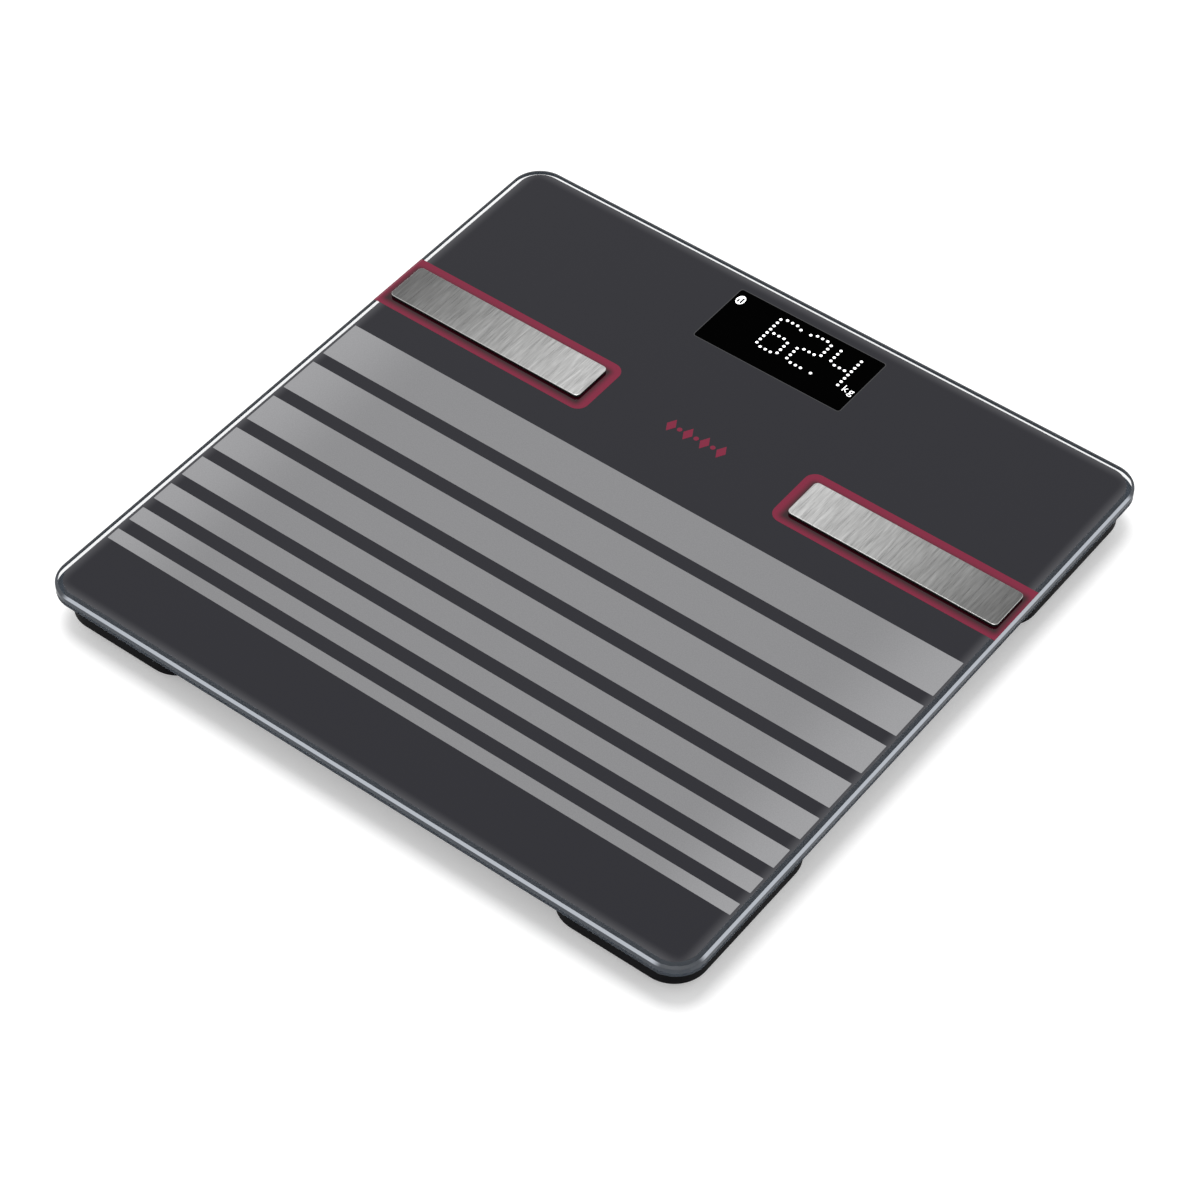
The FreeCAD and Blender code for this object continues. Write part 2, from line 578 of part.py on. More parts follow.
def make_case():
    body = new_body("Case")
    outline = rounded_sketch(body, "CaseOutline", "case_wide", "case_long", "case_corner", "case_bottom")
    pad(body, "CasePad", outline, f"{UNDER} - case_bottom")
    dress(body, "Fillet", "CaseRound", "Radius", "case_round", ("case_bottom",))
    place(body, "0", "case_mid_y")
    rooms = [
        box("CoverRoom", COVER_WIDE, COVER_LONG, f"{CASE_ROOF} - case_bottom + cut_over",
            COVER_MID_X, "case_mid_y", "case_bottom - cut_over"),
        box("BayRoom", "bay_wide", "bay_long", f"{CASE_ROOF} - case_bottom + cut_over",
            BAY_MID_X, BAY_MID_Y, "case_bottom - cut_over"),
        box("DoorRoom", "bay_wide", "case_long", "door_thick + door_lip_thick + 2 * door_gap + cut_over",
            BAY_MID_X, "case_mid_y - case_wall", "case_bottom - cut_over"),
        box("DoorGrooves", "bay_wide + 2 * (door_lip + door_gap)", "case_long",
            "door_lip_thick + 2 * door_gap", BAY_MID_X, "case_mid_y - case_wall",
            "case_bottom + door_thick"),
        box("WindowOpening", "display_wide + 2 * window_gap", "display_long + 2 * window_gap",
            "case_roof + 2 * cut_over", "0", "display_mid_y", f"{CASE_ROOF} - cut_over"),
    ]
    for number, x in enumerate(lead_entries()):
        rooms.append(cylinder(f"LeadEntry_{number}", "lead_hole", "case_wall + 2 * cut_over", x,
                              "case_mid_y - case_long / 2 - cut_over", "lead_level", axis="Y"))
    shell = cut("CaseShell", body, rooms)
    posts = []
    holes = []
    for number, (x, y) in enumerate(cover_screw_spots()):
        posts.append(cylinder(f"CoverPost_{number}", "cover_post_radius",
                              f"{UNDER} - case_roof / 2 - ({COVER_TOP})", x, y, COVER_TOP))
        holes.append(cylinder(f"CoverPostHole_{number}", "screw_hole", "cover_screw_long",
                              x, y, f"{COVER_TOP} - cover_hole_start"))
    solid = fuse("CaseSolid", [shell] + posts)
    node(cut("CaseDrilled", solid, holes), "electronics_case")


def make_cover():
    plate = box("CoverPlate", f"{COVER_WIDE} - 2 * cover_gap", f"{COVER_LONG} - 2 * cover_gap",
                "cover_thick", COVER_MID_X, "case_mid_y", "case_bottom")
    tools = [cylinder("ButtonHole", "button_hole", "cover_thick + 2 * cut_over", "button_x", "button_y",
                      "case_bottom - cut_over")]
    for number, (x, y) in enumerate(cover_screw_spots()):
        tools.append(cylinder(f"CoverHole_{number}", "screw_clear", "cover_thick + 2 * cut_over", x, y,
                              "case_bottom - cut_over"))
        tools.append(cylinder(f"CoverSink_{number}", "recess_radius", "cover_recess_deep + cut_over", x, y,
                              "case_bottom - cut_over"))
    node(cut("Cover", plate, tools), "electronics_cover")
    screws = [screw(f"CoverScrew_{number}", "cover_screw_long", x, y,
                    "case_bottom + cover_recess_deep", RIGHT)
              for number, (x, y) in enumerate(cover_screw_spots())]
    node(group("CoverScrews", screws), "electronics_cover_screws")


def make_door():
    """A door that slides out of the case towards the middle of the scale."""
    front = "(case_mid_y - case_long / 2)"
    back = f"({BAY_FRONT_Y} + bay_long)"
    long = f"({back} - {front} - door_gap)"
    mid = f"{front} + {long} / 2"
    plate = box("DoorPlate", "bay_wide - 2 * door_gap", long, "door_thick + door_gap + door_lip_thick / 2",
                BAY_MID_X, mid, "case_bottom")
    lips = box("DoorLips", "bay_wide + 2 * door_lip", long, "door_lip_thick", BAY_MID_X, mid,
               "case_bottom + door_thick + door_gap")
    relief = box("DoorRelief", "bay_wide - 2 * door_edge", long, "door_lip_thick + 2 * door_gap",
                 BAY_MID_X, f"{mid} + door_block", "case_bottom + door_thick")
    ribs = [box(f"DoorRib_{number}", "door_rib_wide", "door_rib_long", "2 * door_rib_thick", BAY_MID_X,
                f"{front} + door_rib_first + {number} * door_rib_step", "case_bottom - door_rib_thick")
            for number in range(round(value("door_rib_count")))]
    slab = cut("DoorSlab", fuse("DoorBlank", [plate, lips]), [relief])
    node(fuse("Door", [slab] + ribs), "battery_door")


def cell_x(number):
    return f"{BAY_MID_X} + ({number - 1}) * battery_pitch"


def make_batteries():
    """Three AAA cells side by side, the middle one the other way round."""
    for number in range(BATTERIES):
        x = cell_x(number)
        forward = number != 1
        plus = f"{BAY_FRONT_Y} + bay_long - plate_metal" if forward else f"{BAY_FRONT_Y} + plate_metal"
        if forward:
            can_y = f"{plus} - nub_long - battery_long"
            nub_y = f"{plus} - nub_long - nub_root"
        else:
            can_y = f"{plus} + nub_long"
            nub_y = plus
        can = cylinder(f"Can_{number}", "battery_radius", "battery_long", x, can_y,
                       "battery_mid_z", axis="Y")
        nub = cylinder(f"Nub_{number}", "nub_radius", "nub_long + nub_root", x, nub_y,
                       "battery_mid_z", axis="Y")
        node(fuse(f"Battery_{number}", [can, nub]), f"battery_{number + 1}")


def spring_shape(length, radius, wire, turns, sides):
    """A coil of many-sided wire, of the given overall length along +Z from the origin."""
    rise = length - 2 * wire
    path = Part.makeHelix(rise / turns, rise, radius)
    corners = []
    for number in range(sides + 1):
        angle = math.tau * number / sides
        corners.append(Vector(radius + wire * math.cos(angle), 0, wire * math.sin(angle)))
    return Part.Wire(path).makePipeShell([Part.makePolygon(corners)], True, True)


def make_contacts():
    """Springs on the minus ends, and plates: a pair that bridges and a single at each end."""
    room = value("bay_long - 2 * plate_metal - battery_long - nub_long - 2 * spring_gap")
    coil = spring_shape(room, value("spring_radius"), value("spring_wire"), value("spring_turns"),
                        round(value("wire_sides")))
    coils = []
    for number in range(BATTERIES):
        forward = number != 1
        start = f"{BAY_FRONT_Y} + plate_metal" if forward else f"{BAY_FRONT_Y} + bay_long - plate_metal"
        gap = value("spring_gap") + value("spring_wire")
        y = value(start) + (gap if forward else gap - room - 2 * value("spring_gap"))
        spring = DOC.addObject("Part::Feature", f"Spring_{number}")
        spring.Shape = coil
        spring.Placement = FreeCAD.Placement(
            Vector(value(cell_x(number)), y, value("battery_mid_z")),
            FreeCAD.Rotation(Vector(1, 0, 0), -90))
        coils.append(spring)
    node(group("Springs", coils), "battery_springs")

    plates = []
    front = f"{BAY_FRONT_Y} + plate_metal / 2"
    back = f"{BAY_FRONT_Y} + bay_long - plate_metal / 2"
    low = "battery_mid_z - plate_tall / 2"
    for name, y, bridge, single in (("front", front, 0.5, 2), ("back", back, 1.5, 0)):
        plates.append(box(f"Bridge_{name}", "battery_pitch + contact_wide", "plate_metal", "plate_tall",
                          f"{BAY_MID_X} + ({bridge - 1}) * battery_pitch", y, low))
        plates.append(box(f"Single_{name}", "contact_wide", "plate_metal", "plate_tall",
                          cell_x(single), y, low))
    node(group("Plates", plates), "battery_contact_plates")


# ---------------------------------------------------------------------------------------
# Board, display, button
# ---------------------------------------------------------------------------------------
BOARD_TOP = "board_bottom + board_thick"


def make_board():
    board = box("BoardPlate", "board_left + board_right", "board_back - board_front", "board_thick",
                "(board_right - board_left) / 2", "(board_front + board_back) / 2", "board_bottom")
    tools = [cylinder(f"BoardPostHole_{number}", "cover_post_radius + post_gap",
                      "board_thick + 2 * cut_over", x, y, "board_bottom - cut_over")
             for number, (x, y) in enumerate(cover_screw_spots())]
    node(cut("Board", board, tools), "main_board")

    gap = f"{UNDER} - display_gap - ({BOARD_TOP})"
    block = box("DisplayBlock", "display_wide", "display_long", gap, "0", "display_mid_y", BOARD_TOP)
    node(block, "led_display")

    headers = [box(f"Header_{label}", "header_wide", "header_long", "header_tall",
                   f"{side} * electrode_lead_x", "board_front + header_long / 2", BOARD_TOP)
               for label, side in SIDES]
    node(group("Headers", headers), "lead_headers")

    node(box("Chip", "chip_side", "chip_side", "chip_thick", "chip_x", "chip_y",
             "board_bottom - chip_thick"),
         "controller_chip")
    radio_low = "board_bottom - radio_thick"
    radio = box("Radio", "radio_wide", "radio_long", "radio_thick", "radio_x", "radio_y",
                radio_low)
    node(radio, "radio_module")


def make_button():
    block = box("SwitchBlock", "switch_side", "switch_side", "switch_tall", "button_x", "button_y",
                "board_bottom - switch_tall")
    bore = cylinder("SwitchBore", "plunger_bore", "plunger_bore_deep + cut_over", "button_x", "button_y",
                    "board_bottom - switch_tall - cut_over")
    node(cut("Switch", block, [bore]), "unit_switch")
    node(cylinder("Plunger", "plunger_radius", "plunger_top - plunger_bottom", "button_x", "button_y",
                  "plunger_bottom"), "unit_switch_plunger")
    cap = cylinder("ButtonCap", "button_radius", "plunger_bottom - button_face", "button_x", "button_y",
                   "button_face")
    flange = cylinder("ButtonFlange", "button_flange", "button_flange_thick", "button_x", "button_y",
                      "button_flange_bottom")
    node(fuse("Button", [cap, flange]), "unit_button")


# ---------------------------------------------------------------------------------------
# Leads, held under the glass all the way
# ---------------------------------------------------------------------------------------
def lead_path(points, bends):
    """Straight runs between the points, joined by a tangent arc at each inner point."""
    edges = []
    start = points[0]
    for before, corner, after, bend in zip(points, points[1:], points[2:], bends):
        inwards = (corner - before).normalize()
        outwards = (after - corner).normalize()
        half_turn = inwards.getAngle(outwards) / 2
        reach = bend * math.tan(half_turn)
        first = corner - inwards * reach
        last = corner + outwards * reach
        to_centre = (outwards - inwards).normalize()
        middle = corner + to_centre * (bend / math.cos(half_turn) - bend)
        edges.append(Part.LineSegment(start, first).toShape())
        edges.append(Part.Arc(first, middle, last).toShape())
        start = last
    edges.append(Part.LineSegment(start, points[-1]).toShape())
    return Part.Wire(edges)


def make_lead(name, label, points, bends, radius):
    path = lead_path(points, bends)
    along = (points[1] - points[0]).normalize()
    section = Part.Wire(Part.makeCircle(radius, points[0], along))
    tube = path.makePipeShell([section], True, False)
    expected = math.pi * radius ** 2 * path.Length
    if abs(tube.Volume - expected) > VOLUME_SLACK * expected:
        raise RuntimeError(f"{label}: lead volume is off")
    print(f"{label}: length {path.Length:.1f} mm, bends {bends}")
    lead = DOC.addObject("Part::Feature", name)
    lead.Shape = tube
    node(lead, label)


def make_cell_lead(label, side, end):
    """From the gauge out of the housing, along the glass and into the case's front wall."""
    level = value("lead_level")
    end_y = value("board_front")
    start_y = value(lead_start_y(end))
    first = Vector(value(f"{corner_x(side)} - {side} * gauge_wide / 2"), start_y, level)
    wide_bend = value("lead_bend")
    if end == FRONT:
        lane = side * value("front_lead_x")
        points = [first, Vector(lane, start_y, level), Vector(lane, end_y, level)]
        bends = [wide_bend]
    else:
        lane = side * value("back_lead_x")
        beside = side * value("back_lead_side_x")
        cross_y = value("back_lead_y")
        points = [first, Vector(beside, start_y, level), Vector(beside, cross_y, level),
                  Vector(lane, cross_y, level), Vector(lane, end_y, level)]
        bends = [value("lead_tight_bend"), wide_bend, wide_bend]
    make_lead(f"CellLead_{label}", f"load_cell_lead_{label}", points, bends, value("cell_lead_radius"))


def make_electrode_lead(label, side):
    """From the crimp barrel down past the nut, then along the glass to the case."""
    y = value("electrode_mid_y")
    high = value("electrode_lead_level")
    level = value("lead_level")
    barrel = value(f"{STUD_X} - barrel_reach")
    dip = value("lead_dip_run")
    lane = value("electrode_lead_x")
    points = [Vector(side * barrel, y, high), Vector(side * (barrel - dip), y, high),
              Vector(side * (barrel - 2 * dip), y, level), Vector(side * lane, y, level),
              Vector(side * lane, value("board_front"), level)]
    bends = [value("lead_dip_bend"), value("lead_dip_bend"), value("lead_bend")]
    make_lead(f"ElectrodeLead_{label}", f"electrode_lead_{label}", points, bends,
              value("electrode_lead_radius"))


def clip(name, x, y, along):
    """A block glued to the glass with a hole for a lead along X or Y."""
    wide, long = ("clip_wide", "clip_long") if along == "Y" else ("clip_long", "clip_wide")
    block = box(f"{name}_block", wide, long, f"{UNDER} - clip_bottom", x, y, "clip_bottom")
    back_x = f"{x} - clip_long" if along == "X" else x
    back_y = f"{y} - clip_long" if along == "Y" else y
    hole = cylinder(f"{name}_hole", "clip_hole", "2 * clip_long", back_x, back_y, "lead_level", axis=along)
    return cut(name, block, [hole])


def make_clips():
    clips = []
    for label, side in SIDES:
        for number in range(int(value("clip_count"))):
            clips.append(clip(f"Clip_{label}_{number}", f"{side} * front_lead_x",
                              f"clip_first_y + {number} * clip_step", "Y"))
        clips.append(clip(f"Clip_{label}_cross", f"{side} * clip_cross_x", lead_start_y(FRONT), "X"))
        clips.append(clip(f"Clip_{label}_case", f"{side} * clip_cross_x", "back_lead_y", "X"))
    node(group("Clips", clips), "lead_clips")


# ---------------------------------------------------------------------------------------
# Build, check and write
# ---------------------------------------------------------------------------------------
def build():
    make_glass()
    for label, side in SIDES:
        make_electrode(label, side)
        make_terminal(label, side)
    make_nuts()
    for label, side, end in CORNERS:
        make_housing(label, side, end)
        make_lid(label, side, end)
        make_load_cell(label, side, end)
        make_foot(label, side, end)
    make_gauges()
    make_corner_screws()
    make_case()
    make_cover()
    make_door()
    make_batteries()
    make_contacts()
    make_board()
    make_button()
    for label, side, end in CORNERS:
        make_cell_lead(label, side, end)
    for label, side in SIDES:
        make_electrode_lead(label, side)
    make_clips()
    DOC.recompute()


def check():
    for thing in DOC.Objects:
        if "Invalid" in thing.State or "Error" in thing.State:
            raise RuntimeError(f"{thing.Label} failed: {thing.State}")
    for thing in NODES:
        if thing.Shape.isNull() or not thing.Shape.isValid() or not thing.Shape.Solids:
            raise RuntimeError(f"{thing.Label} has no sound shape")


def write():
    os.makedirs("parts", exist_ok=True)
    for thing in NODES:
        thing.Shape.exportStep(f"parts/{thing.Label}.step")
    print(f"{len(NODES)} nodes written")


build()
check()
write()
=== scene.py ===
import math

import bmesh
import bpy
from bpy.props import FloatProperty, FloatVectorProperty, IntProperty, PointerProperty
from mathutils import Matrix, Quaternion, Vector


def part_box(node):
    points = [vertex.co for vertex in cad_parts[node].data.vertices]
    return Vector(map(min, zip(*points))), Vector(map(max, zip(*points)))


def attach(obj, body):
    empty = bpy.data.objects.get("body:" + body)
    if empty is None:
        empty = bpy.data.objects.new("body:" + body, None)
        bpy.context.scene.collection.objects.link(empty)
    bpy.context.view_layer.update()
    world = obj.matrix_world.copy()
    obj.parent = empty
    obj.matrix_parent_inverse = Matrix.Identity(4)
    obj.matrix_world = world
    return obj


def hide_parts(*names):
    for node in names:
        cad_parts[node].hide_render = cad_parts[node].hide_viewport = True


bl_info = {
    "name": "Bathroom scale finishes",
    "version": (1, 0, 0),
    "blender": (4, 5, 0),
    "location": "3D View > Sidebar > Bathroom scale",
    "description": "Glass plate, print, electrodes, underside and studio of a digital bathroom scale",
    "category": "Object",
}

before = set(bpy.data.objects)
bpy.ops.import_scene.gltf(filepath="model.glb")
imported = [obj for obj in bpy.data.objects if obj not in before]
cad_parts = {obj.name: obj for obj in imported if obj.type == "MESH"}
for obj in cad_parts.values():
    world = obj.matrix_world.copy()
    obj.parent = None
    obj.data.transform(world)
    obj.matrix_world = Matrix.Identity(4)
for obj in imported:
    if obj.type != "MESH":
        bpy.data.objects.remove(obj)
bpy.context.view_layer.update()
PLATE_LOW, PLATE_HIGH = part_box("glass_plate")
PLATE_WIDE = PLATE_HIGH.x - PLATE_LOW.x
MM = 0.001
CORNERS = ("front_left", "front_right", "back_left", "back_right")
SIDES = (("left", -1), ("right", 1))

# Where the painted glow of the ground begins, in from the plate's edge
GLOW_START = 1.5 * MM
RIM_ROUND = 0.15 * MM
# Reach of the painted shade on the chamfer at the plate's rounded corners
CORNER_SHADE = (-1 * MM, 3 * MM)
# Reach of the painted shadow round the electrodes, and its shift towards the front
SHADE_REACH = 3.8 * MM
SHADE_SHIFT = 0.9 * MM

ORNAMENT_COUNT = 7
ORNAMENT_PITCH = 4 * MM
ORNAMENT_MIDDLE = (-0.6 * MM, 61.3 * MM)
DIAMOND = (4, 2.1 * MM, 3.7 * MM)
BEAD = (16, 1.1 * MM, 1.1 * MM)

WINDOW_X = -0.6 * MM
WINDOW_LINE = 0.35 * MM
WINDOW_CORNER = 1.2 * MM
UNIT_SIZE = 5.3 * MM
UNIT_THINNER = -0.05 * MM
UNIT_SPACING = 1.22
UNIT_PLACE = (28.4 * MM, 117.6 * MM)
BADGE_RADIUS = 2.6 * MM
BADGE_NARROW = 0.73
BADGE_PLACE = (-32.6 * MM, 134.9 * MM)
BAR_WIDE = 0.85 * MM
BAR_PITCH = 1.4 * MM
BAR_FIRST = (-33.3 * MM, 133.3 * MM)
BAR_HEIGHTS = (1.7 * MM, 3.2 * MM)

SHEET_CORNER = 2 * MM
SHEET_ROUND = 0.35 * MM
SHEET_UNDERCUT = 0.25 * MM
STUD_X = 68.05 * MM
STUD_RADIUS = 1.5 * MM
STUD_BEVEL = 0.3 * MM

GROOVE_DEEP = 0.5 * MM
GROOVE_WIDE = 1 * MM
GROOVE_LEAN = 0.4 * MM
GROOVE_RADII = (6 * MM, 10 * MM)
DIMPLE_RADIUS = 2.4 * MM
DIMPLE_EDGE = 3 * MM
DIMPLE_MIDDLE = 0.05 * MM
PAD_ROUND = 0.15 * MM


def length(name, description, millimetres):
    return FloatProperty(name=name, description=description, default=millimetres * MM,
                         min=0, precision=5, unit="LENGTH")


def colour(name, description, default):
    return FloatVectorProperty(name=name, description=description, default=default,
                               size=3, min=0, max=1, subtype="COLOR")


# ---------------------------------------------------------------------------------------
# Settings
# ---------------------------------------------------------------------------------------
class ScaleGlassSettings(bpy.types.PropertyGroup):
    corner: length("Corner radius", "Radius of the plate's corners, seen from above", 13)
    clear_rim: length("Clear rim", "Width of the unprinted glass round the edge", 3.1)
    chamfer_wide: length("Chamfer width", "Width of the ground chamfer, seen from above", 1.25)
    chamfer_tall: length("Chamfer height", "Height of the ground chamfer", 0.5)
    band_tall: length("Band height", "Depth of the tinted band below the plate's top", 2.6)
    glow_wide: length("Glow width", "How far the light from the rim reaches into the print", 6)
    print_lift: length("Print lift", "Height of a printed layer over the one below", 0.03)


class ScalePrintSettings(bpy.types.PropertyGroup):
    stripe_half: length("Stripe half length", "From the middle of the plate to a stripe's end", 145.8)
    stripe_first: length("First stripe", "Far edge of the widest stripe, from the middle", 28.7)
    stripe_widest: length("Widest stripe", "Height of the widest stripe", 20)
    stripe_step: length("Stripe step", "How much narrower each next stripe is", 2)
    stripe_gap: length("Stripe gap", "Ground between two stripes", 6)
    stripe_count: IntProperty(name="Stripes", description="Number of printed stripes", default=8)
    panel_inner: length("Panel inner end", "From the middle to a coloured panel's inner end", 45)
    panel_near: length("Panel near edge", "From the middle to a coloured panel's near edge", 45)
    panel_far: length("Panel far edge", "From the middle to a coloured panel's far edge", 75)
    panel_corner: length("Panel corner", "Radius of a coloured panel's inner corners", 5)
    window_wide: length("Window width", "Width of the display window", 70.6)
    window_long: length("Window height", "Height of the display window", 33.1)
    window_y: length("Window place", "Middle of the display window, from the middle of the plate", 123.85)
    dot_size: length("Dot size", "Diameter of a lit dot", 1.28)


class ScaleColourSettings(bpy.types.PropertyGroup):
    ground: colour("Ground", "Printed ground under the glass", (0.0052, 0.0052, 0.0102))
    # Painted light: the ground's colour near the rim, standing in for light that enters through the glass
    # edge
    glow: colour("Glow", "Ground lit up by the rim", (0.065, 0.065, 0.072))
    stripe: colour("Stripe", "Printed stripes", (0.213, 0.213, 0.22))
    stripe_end: colour("Stripe end", "Printed stripes near the rim", (0.283, 0.283, 0.292))
    panel: colour("Panel", "Printed panels round the electrodes", (0.186, 0.0012, 0.029))
    window: colour("Window", "Glass over the display", (0.0003, 0.0003, 0.0003))
    light: colour("Lit dot", "Light of the display", (1.0, 1.0, 1.0))
    # Painted reflection on the electrodes: bright at the inner end, dark at the outer end
    steel_painted_bright: colour("Steel, inner end", "Brushed steel at the inner end", (0.62, 0.62, 0.615))
    steel_painted_dark: colour("Steel, outer end", "Brushed steel at the outer end", (0.155, 0.155, 0.153))
    plastic: colour("Plastic", "Moulded housings", (0.0035, 0.0035, 0.0042))
    rubber: colour("Rubber", "Foot pads", (0.022, 0.022, 0.023))


class ScaleStageSettings(bpy.types.PropertyGroup):
    floor_half: length("Floor half width", "From the middle of the floor to its edge", 6000)
    floor: colour("Floor", "Studio floor", (0.9, 0.9, 0.9))
    floor_glow: FloatProperty(name="Floor glow", default=0.26,
                              description="Light of the floor itself, as on a light table")
    surround: FloatProperty(name="Surround", description="Brightness of the studio's walls", default=0.78)
    key: FloatProperty(name="Key light", description="Strength of the key light", default=1.35)
    key_spread: FloatProperty(name="Key spread", description="Softness of the key light",
                              default=math.radians(24), subtype="ANGLE", unit="ROTATION")
    key_way: FloatVectorProperty(
        name="Key direction", description="Where the key light shines", size=3, subtype="DIRECTION",
        default=(0.1, -0.05, -1))
    camera_place: FloatVectorProperty(
        name="Camera place", description="Where the camera stands", size=3, subtype="XYZ",
        default=(0.57665, -0.76511, 1.05426), unit="LENGTH", precision=5)
    camera_ahead: FloatVectorProperty(
        name="Camera direction", description="Where the camera looks", size=3, subtype="DIRECTION",
        default=(-0.40133, 0.53208, -0.74553), precision=5)
    camera_level: FloatProperty(name="Camera roll", description="Turn of the camera about its view",
                                default=math.radians(0.537), subtype="ANGLE", unit="ROTATION")
    camera_lens: FloatProperty(name="Lens", description="Focal length of the camera",
                               default=111.22, unit="CAMERA")


class ScaleSettings(bpy.types.PropertyGroup):
    glass: PointerProperty(type=ScaleGlassSettings)
    prints: PointerProperty(type=ScalePrintSettings)
    colours: PointerProperty(type=ScaleColourSettings)
    stage: PointerProperty(type=ScaleStageSettings)


# ---------------------------------------------------------------------------------------
# Outlines and forms
# ---------------------------------------------------------------------------------------
def rounded_rectangle(wide, long, corner, steps=10):
    """Points of a rounded rectangle about the origin, anticlockwise."""
    points = []
    for quarter, (right, back) in enumerate(((1, 1), (-1, 1), (-1, -1), (1, -1))):
        for step in range(steps + 1):
            angle = math.pi / 2 * (quarter + step / steps)
            points.append((right * (wide / 2 - corner) + corner * math.cos(angle),
                           back * (long / 2 - corner) + corner * math.sin(angle)))
    return points


def circle(radius, steps=32):
    return [(radius * math.cos(math.tau * step / steps), radius * math.sin(math.tau * step / steps))
            for step in range(steps)]


def eased(profile, reach, steps=3):
    """A profile whose inner corners are rounded off within the given reach."""
    ends = [Vector(point) for point in profile]
    points = [ends[0]]
    for before, corner, after in zip(ends, ends[1:], ends[2:]):
        start = corner + (before - corner).normalized() * min(reach, (before - corner).length / 2)
        finish = corner + (after - corner).normalized() * min(reach, (after - corner).length / 2)
        for step in range(steps + 1):
            share = step / steps
            points.append(start.lerp(corner, share).lerp(corner.lerp(finish, share), share))
    return points + [ends[-1]]


def stacked_form(rings, bottom=True, top=True):
    """A mesh form through rings of points that lie over each other."""
    form = bmesh.new()
    loops = [[form.verts.new(point) for point in ring] for ring in rings]
    for lower, upper in zip(loops, loops[1:]):
        for here in range(len(lower)):
            there = (here + 1) % len(lower)
            form.faces.new((lower[here], lower[there], upper[there], upper[here]))
    if bottom:
        form.faces.new(list(reversed(loops[0])))
    if top:
        form.faces.new(loops[-1])
    bmesh.ops.remove_doubles(form, verts=form.verts, dist=1e-7)
    return form


def slab_form(wide, long, corner, profile, at=(0, 0), bottom=True, top=True, steps=10):
    """A plate with rounded corners; the profile gives inset and height from the bottom up."""
    rings = []
    for inset, height in profile:
        outline = rounded_rectangle(wide - 2 * inset, long - 2 * inset, max(corner - inset, 1e-5), steps)
        rings.append([(at[0] + x, at[1] + y, height) for x, y in outline])
    return stacked_form(rings, bottom, top)


def layer_form(outline, low, high, at=(0, 0)):
    """A thin printed layer with the given outline."""
    rings = [[(at[0] + x, at[1] + y, height) for x, y in outline] for height in (low, high)]
    return stacked_form(rings)


def turned_form(profile, at, steps=96):
    """A solid of revolution about a vertical axis; the profile gives radius and height."""
    rings = [[(at[0] + x, at[1] + y, height) for x, y in circle(radius, steps)]
             for radius, height in profile]
    return stacked_form(rings)


def joined(forms):
    """One form out of several."""
    whole = bmesh.new()
    for form in forms:
        spare = bpy.data.meshes.new("spare")
        form.to_mesh(spare)
        form.free()
        whole.from_mesh(spare)
        bpy.data.meshes.remove(spare)
    return whole


def piece(name, form, finishes, body="scale", smooth=None):
    """Turn a form into a piece of the scale that rides on one of its bodies."""
    mesh = bpy.data.meshes.new(name)
    form.to_mesh(mesh)
    form.free()
    for finish in finishes:
        mesh.materials.append(finish)
    if smooth:
        mesh.shade_smooth()
        mesh.set_sharp_from_angle(angle=math.radians(smooth))
    made = bpy.data.objects.new(name, mesh)
    bpy.context.scene.collection.objects.link(made)
    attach(made, body)
    return made


def weigh_normals(made):
    """Keep the flat faces flat beside the small rounded edges."""
    modifier = made.modifiers.new("even_faces", "WEIGHTED_NORMAL")
    modifier.keep_sharp = True
    return made


def finish_nodes(finish, *names):
    """Give the frame's own nodes a finish."""
    for name in names:
        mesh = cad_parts[name].data
        mesh.materials.clear()
        mesh.materials.append(finish)


